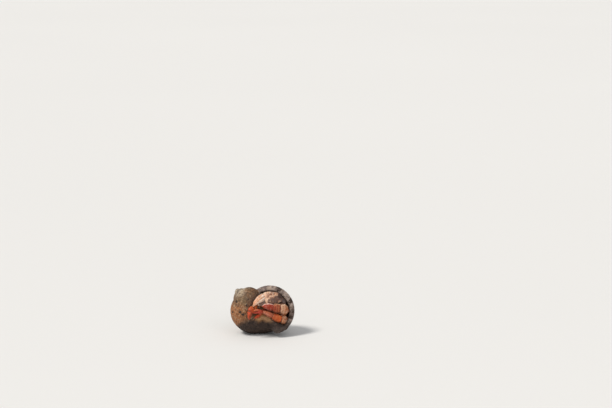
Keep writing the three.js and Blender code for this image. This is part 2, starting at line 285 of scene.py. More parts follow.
# %% A finish and its layers
class Finish:
    """A material with one Principled shader, and the methods that its layers need."""

    def __init__(self, name, **constants):
        """Starts a material and sets the shader's sockets that stay the same all over."""
        self.material = bpy.data.materials.new(name)
        self.material.use_nodes = True
        self.tree = self.material.node_tree
        self.shader = self.tree.nodes["Principled BSDF"]
        for socket, value in constants.items():
            self.shader.inputs[socket.replace("_", " ")].default_value = value

    def node(self, kind, settings=None, inputs=(), output=0):
        """Any node: its settings, then a list or a dict of its sockets."""
        node = self.tree.nodes.new(kind)
        for key, value in (settings or {}).items():
            setattr(node, key, value)
        pairs = inputs.items() if isinstance(inputs, dict) else enumerate(inputs)
        for key, value in pairs:
            self.join(value, node.inputs[key])
        return Wire(self, node.outputs[output])

    def join(self, value, socket):
        """Links a wire to a socket, or sets the socket to a number or a colour."""
        if isinstance(value, Wire):
            self.tree.links.new(value.socket, socket)
        elif isinstance(value, tuple) and len(value) == 3 and socket.type == "RGBA":
            socket.default_value = (*value, 1)
        else:
            socket.default_value = value

    def value(self, name):
        """A value stored at the mesh's points."""
        return self.node("ShaderNodeAttribute", {"attribute_name": name}, output="Fac")

    def place(self, stretch=(1, 1, 1)):
        """The point's place on the object, in millimetres, stretched by axis."""
        where = self.node("ShaderNodeTexCoord", output="Object")
        scale = tuple(s / MM for s in stretch)
        settings = {"operation": "MULTIPLY"}
        return self.node("ShaderNodeVectorMath", settings, [where, scale])

    def noise(self, place, size, detail=3.0, rough=0.55, warp=0.0):
        """Cloudy numbers from 0 to 1 whose blotches are `size` across."""
        inputs = {"Vector": place, "Scale": 1 / size, "Detail": detail}
        inputs |= {"Roughness": rough, "Distortion": warp}
        return self.node("ShaderNodeTexNoise", inputs=inputs)

    def between(self, value, low, high):
        """0 where value is under low, 1 where it is over high, eased between. Low
        may be the larger number, and the result then falls."""
        settings = {"interpolation_type": "SMOOTHSTEP"}
        if low < high:
            return self.node("ShaderNodeMapRange", settings, [value, low, high, 0.0, 1.0])
        return self.node("ShaderNodeMapRange", settings, [value, high, low, 1.0, 0.0])

    def mix(self, share, first, second, blend="MIX"):
        """One colour over another, by a share from 0 to 1."""
        settings = {"data_type": "RGBA", "blend_type": blend}
        inputs = {"Factor": share, 6: first, 7: second}
        return self.node("ShaderNodeMix", settings, inputs, 2)

    def sine(self, value):
        """The sine of a value in radians, from -1 to 1."""
        return self.node("ShaderNodeMath", {"operation": "SINE"}, [value])

    def done(self, colour, roughness=None, height=None, depth=0.05, coat=None):
        """Feeds the shader, with `height` as a bump that is `depth` mm deep."""
        self.join(colour, self.shader.inputs["Base Color"])
        if roughness is not None:
            self.join(roughness, self.shader.inputs["Roughness"])
        if coat is not None:
            self.join(coat, self.shader.inputs["Coat Weight"])
        if height is not None:
            inputs = {"Strength": 1.0, "Distance": depth * MM, "Height": height}
            bump = self.node("ShaderNodeBump", inputs=inputs)
            self.join(bump, self.shader.inputs["Normal"])
        return self.material


print("a finish starts with", len(Finish("trial").tree.nodes), "nodes")
bpy.data.materials.remove(bpy.data.materials["trial"])

# %% [markdown]
# ## Floor, light and camera
#
# The crab stands alone on a plain pale floor. Two wide soft lamps and an even sky
# keep the light level plain, so that a colour comes out about as it is written. The
# stronger lamp stands at the upper left, a little behind, so that the far side of
# the mouth is bright and a short shadow falls to the right.

# %% A pale floor
floor_finish = Finish("pale floor", Roughness=0.9, Specular_IOR_Level=0.1)
floor_cloud = floor_finish.noise(floor_finish.place(), 900.0, 2.0)
floor_tone = floor_finish.mix(floor_cloud, (0.80, 0.79, 0.77), (0.84, 0.83, 0.81))
FLOOR_HALF = 9.0  # metres from its middle to each side
floor_corners = FLOOR_HALF * np.array([[-1, -1, 0], [1, -1, 0], [1, 1, 0], [-1, 1, 0]])
floor_mesh = bpy.data.meshes.new("floor")
floor_mesh.from_pydata(floor_corners.tolist(), [], [(0, 1, 2, 3)])
floor_mesh.materials.append(floor_finish.done(floor_tone))
floor = bpy.data.objects.new("floor", floor_mesh)
bpy.context.scene.collection.objects.link(floor)
print("the floor is", 2 * FLOOR_HALF, "m wide")

# %% [markdown]
# Small area lamps would have to be scaled to the crab. A sun lamp shines evenly over
# it at any size, and a wide angle makes its shadow as soft as a large window's does.
# Both lamps stay close to white, one a little warm and the other a little cool.

# %% Two soft lamps and an even sky
def lamp(name, strength, spread, azimuth, elevation, colour):
    """A sun lamp. Azimuth 0 shines from the viewer's side, and 90 from the right."""
    light = bpy.data.lights.new(name, "SUN")
    light.energy = strength
    light.angle = np.radians(spread)
    light.color = colour
    holder = bpy.data.objects.new(name, light)
    holder.rotation_euler = (np.radians(90 - elevation), 0, np.radians(azimuth))
    bpy.context.scene.collection.objects.link(holder)


lamp("key lamp", 2.3, 16, -62, 52, (1.0, 0.97, 0.92))
lamp("fill lamp", 0.55, 50, 25, 30, (0.95, 0.97, 1.0))
sky = bpy.data.worlds.new("sky")
sky.use_nodes = True
sky.node_tree.nodes["Background"].inputs["Color"].default_value = (0.97, 0.98, 1, 1)
sky.node_tree.nodes["Background"].inputs["Strength"].default_value = 0.42
bpy.context.scene.world = sky
bpy.context.scene.view_settings.view_transform = "Standard"
print("lamps:", [(light.name, round(light.energy, 2)) for light in bpy.data.lights])

# %% [markdown]
# A real crab this small is seen through a long lens from about arm's length, which
# keeps its parts in true proportion. The camera could be turned by hand. Here its two
# angles are worked out from where the crab should stand in the picture.

# %% A long lens, low in front of the crab
# The crab is small and sits low and left of the middle of a wide view, so the lens's
# axis passes above and to the right of it.
CAMERA_AWAY = 748.0
CAMERA_ABOVE = np.radians(14.6)
AIM_RIGHT = 0.0255  # these two as shares of the distance
AIM_ABOVE = 0.0763

slant = np.sqrt(1 + AIM_RIGHT**2 + AIM_ABOVE**2)
yaw = np.arcsin(AIM_RIGHT / (slant * np.cos(CAMERA_ABOVE)))
level, rise = np.cos(yaw) * np.cos(CAMERA_ABOVE), np.sin(CAMERA_ABOVE)
pitch = np.arctan2(rise, level) - np.arcsin(AIM_ABOVE / slant / np.hypot(level, rise))
lens = bpy.data.cameras.new("camera")
lens.lens = 100
lens.sensor_width = 36
lens.clip_start = 0.01
lens.clip_end = 50
camera = bpy.data.objects.new("camera", lens)
away = CAMERA_AWAY * MM
camera.location = (0, -away * np.cos(CAMERA_ABOVE), away * np.sin(CAMERA_ABOVE))
camera.rotation_euler = (np.pi / 2 - pitch, 0, -yaw)
bpy.context.scene.collection.objects.link(camera)
bpy.context.scene.camera = camera
print("the camera looks down by", np.degrees(pitch).round(2), "degrees")

# %% [markdown]
# ## The shell as a field
#
# A turban shell is a tube that winds round an axis and grows by one factor each turn,
# so its whorls swallow one another and the tube is hollow behind the mouth. A single
# grid along the tube would cross itself wherever whorls meet. So the shell is made
# another way: as a field, a number at every point of space that is negative inside
# the wall. Whorls are joined by a soft minimum, which gives the rounded seam between
# them, and the cavity is taken away by a soft maximum, which rounds the lip.

# %% The coil's sizes
TUBE_RADIUS = 12.4  # of the tube at the mouth
TUBE_HEIGHT = 0.984  # its half height over its half width
GROWTH_PER_TURN = 2.293
AXIS_OFFSET = 0.287  # from the axis to the tube's middle, in tube radii
AXIS_DROP = 1.547  # from the apex down to the tube's middle, in tube radii
LIP_LEAN = 0.277  # radians by which the lip's apex side runs ahead
WHORLS = 4
BORE = 0.8  # the cavity's share of the tube
CAVITY_AHEAD = np.radians(28)  # how far the bore is carried on beyond the lip
EARLIER_SKIN = 1.015  # how far from the turn before it the hollow stays, in tube radii
PILLAR_INSIDE = 0.16  # the axis pillar's radius in the cavity, in tube radii
PILLAR_AT_MOUTH = 0.32
LIE = turned("z", np.radians(-129.28)) @ turned("x", np.radians(52.53))
LIE = LIE @ turned("z", np.radians(122.14))
print("one turn back the tube is", round(TUBE_RADIUS / GROWTH_PER_TURN, 2), "mm")


# %% Where a point lies on the tube
def around_tube(points, turn):
    """Where points lie about one turn of the tube: growth angle (0 at the mouth and
    negative inside), the tube's radius there, the share of that radius, and the
    angle around the tube."""
    x, y, z = np.moveaxis((points - APEX) @ LIE, -1, 0)
    growth = -np.arctan2(y, x) - TURN * turn
    radius = TUBE_RADIUS * GROWTH_PER_TURN ** (growth / TURN)
    out = np.hypot(x, y) / radius - AXIS_OFFSET
    up = (z / radius + AXIS_DROP) / TUBE_HEIGHT
    return growth, radius, np.hypot(out, up), np.arctan2(up, out)


mouth_facts = around_tube(from_face([0.0, 0.0, 0.0]), 0)
print("growth, radius, share and angle at the mouth:", np.round(mouth_facts, 2))


# %% Joins without a sharp corner
def soft_max(a, b, width):
    """The larger of two fields, with the corner between them rounded by width."""
    close = np.clip(1 - np.abs(a - b) / width, 0, 1)
    return np.maximum(a, b) + close * close * width / 4


def soft_min(a, b, width):
    """The smaller of two fields, rounded in the same way."""
    return -soft_max(-a, -b, width)


print("where two surfaces cross, the corner is filled by", soft_max(0.0, 0.0, 1.0), "of the width")

# %% The inner lip
# It is a smooth rope that arches over the foot of the pillar.
INNER_LIP = np.array([[-6.2, 0.3, -4.4], [-4.4, 0.2, -2.6], [-2.4, 0.1, -1.1],
                      [-0.3, 0.2, -2.0], [2.0, 0.4, -3.9], [4.6, 0.2, -5.4], [7.4, 0.0, -6.1]])
INNER_LIP_RADIUS = [0.8, 1.1, 1.3, 1.35, 1.4, 1.4, 1.0]


def rope_field(points):
    """Distance outside a rope: to the nearest of its straight stretches, less its
    radius there, with the stretches softly joined."""
    knots = from_face(INNER_LIP)
    nearest = np.full(points.shape[:-1], 99.0)
    for k in range(len(knots) - 1):
        way = knots[k + 1] - knots[k]
        along = np.clip((points - knots[k]) @ way / (way @ way), 0, 1)
        away = np.linalg.norm(points - knots[k] - along[..., None] * way, axis=-1)
        thick = INNER_LIP_RADIUS[k] + along * (INNER_LIP_RADIUS[k + 1] - INNER_LIP_RADIUS[k])
        nearest = soft_min(nearest, away - thick, 0.6)
    return nearest


lip_steps = np.linalg.norm(np.diff(INNER_LIP, axis=0), axis=1)
print("the inner lip is", lip_steps.sum().round(1), "mm long")

# %% [markdown]
# ### What the sea and the sand leave on it
#
# The fresh shell had low spiral cords with rounded knobs, crossed by growth lines.
# Years of rolling wear the cords down, most of all at the apex, and leave pits and
# chips. All of this is height added to the field, so it is real geometry. The finest
# grain is left to the finish.

# %% Cords, knobs, growth lines and pits
CORDS = 44  # round the tube
KNOBS = 54  # in each turn of the coil, on one cord
GROWTH_LINES = 150  # in each turn of the coil
CORD_TALL, KNOB_TALL, LINE_TALL, PIT_DEEP, DENT_DEEP = 0.26, 0.14, 0.05, 0.20, 0.22
SUNK = 0.20  # all the relief is set in by this, so that its crests stay near the tube


def shell_relief(points, growth, radius, around):
    """Height in millimetres: rounded cords along the tube, knobs along each cord,
    lines across them, all worn by soft lumps, and round pits."""
    size = radius / TUBE_RADIUS
    wander = lumps(points, 5.0, 11)
    cord = np.abs(np.cos(CORDS / 2 * around + 0.5 * wander)) ** 0.7
    beat = np.cos(KNOBS * growth + 2.1 * np.floor(CORDS * around / TURN) + 2.5 * wander)
    knob = cord * smooth_step(beat, -0.2, 1.0)
    lines = np.cos(GROWTH_LINES * growth + 5 * lumps(points, 3.0, 17))
    worn = 0.35 + 0.65 * smooth_step(lumps(points, 4.5, 23, 3), -0.45, 0.35)
    worn = worn * smooth_step(radius, 2.5, 9.0)
    nearest, own = grains(points, 1.7, 31)
    pit = smooth_step(-nearest, -0.34, -0.12) * (own > 0.72)
    height = worn * (CORD_TALL * cord + KNOB_TALL * knob + LINE_TALL * lines) * size**0.7
    dents = DENT_DEEP * lumps(points, 6.5, 41, 3) + 0.05 * lumps(points, 1.3, 43, 2)
    return height - SUNK + dents - PIT_DEEP * pit, cord * worn


mouth_turn = np.zeros(len(test_points))
trial_relief = shell_relief(test_points, mouth_turn, mouth_turn + TUBE_RADIUS, mouth_turn)[0]
print("the relief runs over", np.ptp(trial_relief).round(2), "mm")

# %% [markdown]
# ### The whole shell as one field
#
# The pieces of the field go together in the order of a mould's: the turns of the tube,
# from the mouth back to the apex, then the inner lip, the hollow behind the mouth with
# its pillar left standing, the relief, and the floor that the shell rests on. The
# relief fades towards the lip, which is smooth, and over the inner lip.

# %% Join the turns, the inner lip and the hollow
# How far each join of two surfaces is rounded.
LIP_ROUND, SEAM_ROUND, INNER_LIP_ROUND, RIM_ROUND = 1.5, 0.35, 0.9, 0.9
PILLAR_ROUND, CAVITY_ROUND, EARLIER_ROUND, FLOOR_ROUND = 1.4, 1.0, 0.8, 0.25
NO_SURFACE = 99.0  # farther than any surface


def shell_field(points, detailed=True):
    """Negative inside the shell's wall: soft least of the turns and the inner lip, then
    soft most of that and the hollow turned inside out. Also gives what the finish needs."""
    outer = np.full(points.shape[:-1], NO_SURFACE)
    growth, radius, around = (np.zeros_like(outer) for _ in range(3))
    across = np.linalg.norm(((points - APEX) @ LIE)[..., :2], axis=-1)
    for turn in range(-1, WHORLS):
        g, r, share, a = around_tube(points, turn)
        ahead = (g - LIP_LEAN * np.sin(a)) * across
        wall = soft_max((share - 1) * r, ahead, LIP_ROUND)
        nearer = wall < outer
        growth, radius, around = (
            np.where(nearer, new, old)
            for new, old in ((g, growth), (r, radius), (a, around))
        )
        outer = soft_min(outer, wall, SEAM_ROUND)
    rope = rope_field(points)
    outer = soft_min(outer, rope, INNER_LIP_ROUND)
    arch = smooth_step(-rope, -1.0, -0.1)
    # The hollow runs half a turn back from the mouth, where this turn's growth begins.
    g, r, share, a = around_tube(points, 0)
    pillar = PILLAR_INSIDE + (PILLAR_AT_MOUTH - PILLAR_INSIDE) * smooth_step(g, -1.6, 0.2)
    hollow = soft_max((share - BORE) * r, pillar * r - across, PILLAR_ROUND)
    hollow = soft_max(hollow, (g - CAVITY_AHEAD) * across, CAVITY_ROUND)
    _, r, share, _ = around_tube(points, 1)
    hollow = soft_max(hollow, (EARLIER_SKIN - share) * r, EARLIER_ROUND)
    hollow = soft_max(hollow, -rope, INNER_LIP_ROUND)
    if detailed:
        relief, crest = shell_relief(points, growth, radius, around)
        behind_lip = LIP_LEAN * np.sin(around) - growth
        relief = relief * (0.1 + 0.9 * smooth_step(behind_lip, 0.05, 0.7)) * (1 - 0.8 * arch)
    else:
        relief, crest = 0, outer * 0
    solid = soft_max(outer - relief, -hollow, RIM_ROUND)
    solid = soft_max(solid, -points[..., 2], FLOOR_ROUND)
    inner = smooth_step(-hollow - outer, -0.6, 0.6)
    return solid, {
        "growth": growth, "around": around, "radius": radius,
        "crest": crest, "inner": inner, "arch": arch,
    }


middle_of_wall = from_face([[11.4, 0.5, 0.0]])
print("a place inside the wall has the value", shell_field(middle_of_wall)[0].round(2))

# %% [markdown]
# ### From a field to a skin
#
# The field is worked out on a grid of points about 0.2 mm apart. Each cell that the
# surface crosses gets one point, the mean of the crossings on its edges, and each grid
# edge that it crosses gets one face between the four cells round it. A ready-made
# remesher would do the same from a coarser shape, but would lose the finest cords.

# %% The skin of a field
def skin_of(field, low, step):
    """Points and four-cornered faces where a field on a grid is zero."""
    inside = field < 0
    size = np.array(field.shape) - 1
    corners = list(np.ndindex(2, 2, 2))
    count = np.zeros(size, np.int8)
    for corner in corners:
        count += inside[tuple(slice(k, k + n) for k, n in zip(corner, size))]
    cells = np.argwhere((count > 0) & (count < 8))
    number = np.full(size, -1)
    number[tuple(cells.T)] = np.arange(len(cells))
    total = np.zeros(cells.shape)
    crossings = np.zeros(len(cells))
    faces = []
    units = np.eye(3, dtype=int)
    for axis in range(3):
        for corner in corners:
            if corner[axis]:
                continue
            a = field[tuple((cells + corner).T)]
            b = field[tuple((cells + corner + units[axis]).T)]
            crossed = (a < 0) != (b < 0)
            share = np.where(crossed, a / np.where(crossed, a - b, 1), 0)
            spot = np.array(corner) + share[:, None] * units[axis]
            total += np.where(crossed[:, None], spot, 0)
            crossings += crossed
        one, two = units[(axis + 1) % 3], units[(axis + 2) % 3]
        starts = np.moveaxis(inside, axis, 0)[:-1]
        ends = np.moveaxis(inside, axis, 0)[1:]
        for outward, where in ((True, starts & ~ends), (False, ends & ~starts)):
            edges = np.argwhere(np.moveaxis(where, 0, axis))
            keep = ((edges - one - two) >= 0).all(1) & (edges < size).all(1)
            edges = edges[keep]
            ring = [edges - one - two, edges - two, edges, edges - one]
            quads = np.stack([number[tuple(cell.T)] for cell in ring], -1)
            faces.append(quads if outward else quads[:, ::-1])
    points = low + step * (cells + total / crossings[:, None])
    return points, np.concatenate(faces)


trial = np.linalg.norm(np.indices((9, 9, 9)) - 4.0, axis=0) - 3.0
print("a ball of radius 3 gets", len(skin_of(trial, np.zeros(3), 1.0)[0]), "points")

# %% [markdown]
# The smooth field comes first, on the whole grid, and the relief is worked out only
# near the wall, which saves most of the time. Two steps along the field's slope then
# put every point on the true surface.

# %% Work out the shell
GRID_STEP = 0.21
MARGIN = 0.9  # round the packed shell, and on both sides of its wall
low = shell_low - MARGIN
counts = np.ceil((shell_high + MARGIN - low) / GRID_STEP).astype(int)
axes = [low[k] + GRID_STEP * np.arange(counts[k]) for k in range(3)]
lattice = np.stack(np.meshgrid(*axes, indexing="ij"), -1)
shell_values = shell_field(lattice, detailed=False)[0]
near = np.abs(shell_values) < MARGIN
shell_values[near] = shell_field(lattice[near])[0]
shell_points, shell_faces = skin_of(shell_values, low, GRID_STEP)

PROBE = 0.02  # how far apart the field is read to find its slope
MOST_SHIFT = 0.06
for _ in range(2):
    here, shell_facts = shell_field(shell_points)
    moved = [shell_field(shell_points + PROBE * unit)[0] for unit in np.eye(3)]
    slope = (np.stack(moved, -1) - here[:, None]) / PROBE
    steep = np.maximum((slope**2).sum(-1), 0.25)
    shift = here[:, None] * slope / steep[:, None]
    shell_points = shell_points - np.clip(shift, -MOST_SHIFT, MOST_SHIFT)
print(len(shell_points), "points and", 2 * len(shell_faces), "triangles in the shell")

# %% [markdown]
# ### The shell's finish
#
# Close to, the shell is a worn mosaic. The ground is brown to olive with cream flecks,
# cream at the upper left, where painted sunlight adds to its own pale colour, orange-brown
# low on the left, and greyish with a touch of mauve along the lip. Rows of dark spots
# follow the cords and end in large blots on the lip. The apex is bleached nearly to chalk.
# Painted shade darkens the underside, two patches, and the rim just within the lip. The
# inner lip is a smooth tan glaze, lightened as a painted highlight. Deep inside, the wall
# is like porcelain. Each of these places could be a mask painted by hand. Here it is a
# number worked out for every point of the shell, which the finish reads by name.

# %% Rows of spots, and single blots
def spot_rows(growth, around, radius):
    """Dark spots in rows along the tube: one chance for a spot in each cell of growth
    angle and turn about the tube, with its own size and shift."""
    along, across = 6.0, 2.2  # cells in each radian, along the tube and round it
    places = np.stack([growth * along, around * across, 0 * growth], -1)
    cell = np.floor(places)
    chance, shift, size = (lattice_number(cell, seed) for seed in (201, 202, 203))
    off = places - cell - 0.5 - 0.25 * (2 * np.stack([shift, size, 0 * size], -1) - 1) * [1, 1, 0]
    away = np.hypot(off[..., 0] * radius / along, off[..., 1] * radius / across)
    return (chance > 0.7) * smooth_step(-away, -0.6 - 0.4 * size, -0.1)


def blot(seen, x, z, reach):
    """A round spot on the wall: the frontmost place of the wall at (x, z) is its middle,
    and it runs twice as far into the distance as across."""
    beside = np.hypot(seen[:, 0] - x, seen[:, 2] - z)
    middle = [x, seen[beside < 0.6, 1].min(), z]
    away = np.linalg.norm((seen - middle) * [1, 0.5, 1], axis=-1)
    return smooth_step(reach - away, 0, 0.6 * reach)


BLOTS = [(5.1, 11.2, 1.6), (10.2, 5.8, 1.4), (10.8, 1.1, 0.9), (10.1, -1.7, 1.0),
         (-9.0, 3.5, 0.7), (-12.1, 0.6, 0.7), (-10.7, -0.4, 0.8), (-13.9, 5.4, 0.8),
         (-15.6, 0.8, 0.7), (-2.4, 12.1, 0.9), (-7.0, 11.6, 0.7)]  # x, z and reach
RAGGED = 0.75  # how far a blot's edge strays
seen = to_face(shell_points)
shake = np.stack([lumps(shell_points, 1.1, seed, 3) for seed in (211, 212, 213)], -1)
blots = np.max([blot(seen + RAGGED * shake, x, z, 1.4 * r) for x, z, r in BLOTS], axis=0)
rows = spot_rows(*(shell_facts[key] for key in ("growth", "around", "radius")))
spots = np.maximum(blots, 0.75 * rows)
print("spots cover", (spots > 0.5).mean().round(3), "of the shell")

# %% Where the other markings lie
seen_x, _, seen_z = np.moveaxis(seen, -1, 0)
from_apex = np.linalg.norm(shell_points - APEX, axis=-1)
# The inner lip's tan glaze: its own colour, made light as a painted highlight along the ridge.
glaze_and_highlight = shell_facts["arch"] * smooth_step(-seen_x, -3.4, -0.4) * smooth_step(seen_x, -6.8, -4.6)
# Painted shade of the underside: below this height in the face frame, the shell darkens towards the
# bottom.
shade_up_to = np.interp(seen_x, [-14, -10, -7, 0, 3, 9], [-4.8, -3.3, -2.4, -2.5, -3.5, -3.9])
shade_up_to = shade_up_to + 0.9 * lumps(shell_points, 3.0, 214)
shell_marks = {
    "crest": shell_facts["crest"],
    "inner": shell_facts["inner"],
    "behind lip": LIP_LEAN * np.sin(shell_facts["around"]) - shell_facts["growth"],
    "spots": spots,
    "bleached": smooth_step(-from_apex, -6.6, -2.6),
    # Cream at the upper left: the shell's own pale colour, with painted sunlight on that side.
    "cream": patch_at(shell_points, -13.2, 11.2, 5.0),
    "low left": patch_at(shell_points, -14.4, -0.8, 7.4),
    # Two patches of painted shade: the low right of the lip, and the dome's side by the mouth.
    "patch_shade": np.maximum(
        patch_at(shell_points, 12.0, -3.0, 8.0), patch_at(shell_points, -4.6, 5.0, 5.6)
    ),
    "glaze_and_highlight": glaze_and_highlight,
    "underside_shade": smooth_step(shade_up_to - seen_z, -1.2, 1.8),
}
print("the shell carries", sorted(shell_marks))

# %% [markdown]
# The colours could be layered in many materials, or on one surface as here, where each
# layer covers what is below by a share from 0 to 1. The order follows a shell's life: its
# own colours and seasons of growth first, with two patches of painted shade, then rubbing
# and grime, then the painted shade of the rim, the inner glaze with its painted highlight,
# the painted shade of the underside, and the dark spots over all.

# %% The shell's colours
SHELL_PAINT = {
    "brown": (0.23, 0.11, 0.048), "umber": (0.095, 0.044, 0.02), "olive": (0.16, 0.105, 0.048),
    "cream": (0.60, 0.48, 0.35), "orange": (0.36, 0.135, 0.042),
    "lip": (0.42, 0.34, 0.305), "mauve": (0.16, 0.115, 0.108), "season": (0.085, 0.055, 0.045),
    "pale fleck": (0.47, 0.35, 0.23), "dark fleck": (0.045, 0.024, 0.012),
    "patch_shade": (0.085, 0.05, 0.038), "chalk": (0.58, 0.50, 0.38), "rubbed": (0.46, 0.36, 0.26),
    "grime": (0.05, 0.03, 0.016), "rim": (0.055, 0.028, 0.019),
    "pearl": (0.46, 0.37, 0.30), "dull pearl": (0.30, 0.22, 0.18),
    "tan": (0.66, 0.34, 0.14), "dark tan": (0.46, 0.24, 0.09),
    "deepest_underside_shade": (0.019, 0.010, 0.007), "underside_shade_colour": (0.045, 0.026, 0.019),
    "spot": (0.035, 0.018, 0.011), "pepper": (0.05, 0.034, 0.024),
}
darkest = min(SHELL_PAINT, key=lambda name: sum(SHELL_PAINT[name]))
print(len(SHELL_PAINT), "colours, of which the darkest is", darkest)


# %% Paint the shell
def shell_finish():
    """Coats of colour laid over one another, each through a share of noise or of a
    value that the shell's points carry."""
    paint = SHELL_PAINT
    finish = Finish("worn shell", Specular_IOR_Level=0.35)
    place = finish.place()
    crest, inner, glaze_and_highlight = (finish.value(key) for key in ("crest", "inner", "glaze_and_highlight"))
    behind, spots, patch_shade = (finish.value(key) for key in ("behind lip", "spots", "patch_shade"))
    big = finish.noise(place, 6.0, 4.0, 0.6, 0.6)
    blotch = finish.noise(place, 2.4, 5.0, 0.65, 1.2)
    fleck = finish.noise(place, 0.95, 4.0, 0.65, 0.3)
    fine = finish.noise(place, 0.45, 4.0, 0.7)
    # The ground, and its colours by region.
    tone = finish.mix(finish.between(blotch, 0.42, 0.58), paint["brown"], paint["umber"])
    tone = finish.mix(finish.between(big, 0.50, 0.62) * 0.6, tone, paint["olive"])
    cream = finish.value("cream") * finish.between(blotch, 0.36, 0.56)
    tone = finish.mix(cream * 0.85, tone, paint["cream"])
    orange = finish.value("low left") * finish.between(blotch, 0.24, 0.48)
    tone = finish.mix(orange * 0.85, tone, paint["orange"])
    lip_tone = finish.mix(finish.between(blotch, 0.40, 0.60), paint["lip"], paint["mauve"])
    tone = finish.mix(finish.between(behind, 0.65, 0.2) * 0.85, tone, lip_tone)
    # Seasons of growth, flecks, and two patches of painted shade.
    season = finish.node("ShaderNodeCombineXYZ", inputs=[behind * 11.0, big * 2.0, 0.0])
    season = finish.between(finish.noise(season, 1.0, 3.0, 0.6), 0.52, 0.66)
    tone = finish.mix(season * 0.45, tone, paint["season"])
    tone = finish.mix(finish.between(fleck, 0.54, 0.62) * 0.5, tone, paint["pale fleck"])
    tone = finish.mix(finish.between(fleck, 0.46, 0.38) * 0.6, tone, paint["dark fleck"])
    tone = finish.mix(patch_shade * 0.5, tone, paint["patch_shade"])
    # Wear: a bleached apex, rubbed crests, and grime between them.
    bleached = finish.value("bleached")
    tone = finish.mix(bleached * finish.between(big, 0.25, 0.55), tone, paint["chalk"])
    rubbed = finish.between(crest, 0.45, 0.95) * finish.between(fine, 0.40, 0.62)
    tone = finish.mix(rubbed * 0.35, tone, paint["rubbed"])
    grime = finish.between(crest, 0.25, 0.0) * finish.between(blotch, 0.35, 0.6)
    tone = finish.mix(grime * 0.6, tone, paint["grime"])
    # The inside: a dark rim of painted shade just within the lip, pearl deep down, and the
    # tan glaze of the inner lip, which is lightened as a painted highlight.
    pearl = finish.mix(finish.noise(place, 3.0), paint["pearl"], paint["dull pearl"])
    tone = finish.mix(inner * finish.between(behind, 0.04, 0.16), tone, paint["rim"])
    tone = finish.mix(inner * finish.between(behind, 0.6, 1.1), tone, pearl)
    tan = finish.mix(finish.between(blotch, 0.40, 0.62), paint["tan"], paint["dark tan"])
    tone = finish.mix(glaze_and_highlight * 0.85, tone, tan)
    # Painted shade that darkens the underside towards the bottom, and the dark spots over all.
    underside_shade = finish.value("underside_shade") * (1 - 0.04 * finish.between(blotch, 0.56, 0.46))
    underside_shade_colour = finish.mix(finish.between(fleck, 0.42, 0.62), paint["deepest_underside_shade"], paint["underside_shade_colour"])
    tone = finish.mix(underside_shade * 0.99, tone, underside_shade_colour)
    spot = finish.between(spots + 4.5 * (fleck - 0.5), 0.40, 0.85)
    tone = finish.mix(spot * spots * 1.2, tone, paint["spot"])
    pepper = finish.between(finish.noise(place, 0.22, 2.0), 0.62, 0.72)
    tone = finish.mix(pepper * 0.5, tone, paint["pepper"])
    roughness = 0.52 + 0.3 * fine - 0.2 * inner - 0.15 * glaze_and_highlight
    height = (fine * 0.7 + 0.3 * finish.noise(place, 0.18, 3.0)) * (1 - 0.7 * glaze_and_highlight)
    return finish.done(tone, roughness, height, 0.12)


worn_shell = shell_finish()
make_piece(
    "turban_shell", shell_points, [shell_faces], worn_shell, ["shell"], shell_marks
)
print("the shell's finish has", len(worn_shell.node_tree.nodes), "nodes")


# %% [markdown]
# ## Limbs as profiles carried along a path
#
# A crab's limb is a row of hard plates with a soft joint between each two. Each plate
# is one surface of two parameters: `f` runs from one joint to the other along a
# gently bent line, and `turn` runs round it. The half sizes across the line change
# along it, the ends close like domes, and the section can be squarer than an ellipse
# or carry a keel. Height is then added along the surface's own normals for grains,
# wrinkles, ridges and teeth.

# %% Widths, a bent line and domed ends
def eased(values, f):
    """Evenly spaced values, joined by easing from each to the next."""
    values = np.asarray(values, float)
    reach = np.clip(f, 0, 1) * (len(values) - 1)
    i = np.minimum(len(values) - 2, reach.astype(int))
    u = reach - i
    return values[i] + (values[i + 1] - values[i]) * (u * u * (3 - 2 * u))


def bent_line(start, end, bow, f):
    """Points and directions along a line whose middle is pushed aside by `bow`."""
    a, b = np.asarray(start, float), np.asarray(end, float)
    c = (a + b) / 2 + 2 * np.asarray(bow, float)
    f = f[:, None]
    spots = (1 - f) ** 2 * a + 2 * f * (1 - f) * c + f * f * b
    ways = 2 * (1 - f) * (c - a) + 2 * f * (b - c)
    return spots, ways / np.linalg.norm(ways, axis=1, keepdims=True)


def dome_rows(rows, ends):
    """Values from 0 to 1, packed closer where each end closes, and the share of the
    full width that is left at each of them."""
    first, last = ends
    rise = 1 - np.cos(np.linspace(0, np.pi / 2, rows // 6 + 2))
    body = np.linspace(first, 1 - last, rows)
    f = np.concatenate([first * rise[:-1], body, 1 - last * rise[-2::-1]])[1:-1]
    near = np.sqrt(np.clip(1 - (1 - f / first) ** 2, 0, 1)) * (f < first) + (f >= first)
    far = (1 - f) / last
    far = np.sqrt(np.clip(1 - (1 - far) ** 2, 0, 1)) * (far < 1) + (far >= 1)
    return f, near * far


print("half way from 1 to 2 a width is", eased([1, 2], np.array([0.5]))[0])
print("12 rows with two domed ends become", len(dome_rows(12, (0.1, 0.1))[0]))


# %% The surface of a plate
def normals_of(grid):
    """Outward normals of a grid of rings, from its two directions' cross product."""
    along = np.gradient(grid, axis=0)
    round_it = np.roll(grid, -1, 1) - np.roll(grid, 1, 1)
    normal = np.cross(round_it, along)
    return normal / np.maximum(np.linalg.norm(normal, axis=-1, keepdims=True), 1e-9)


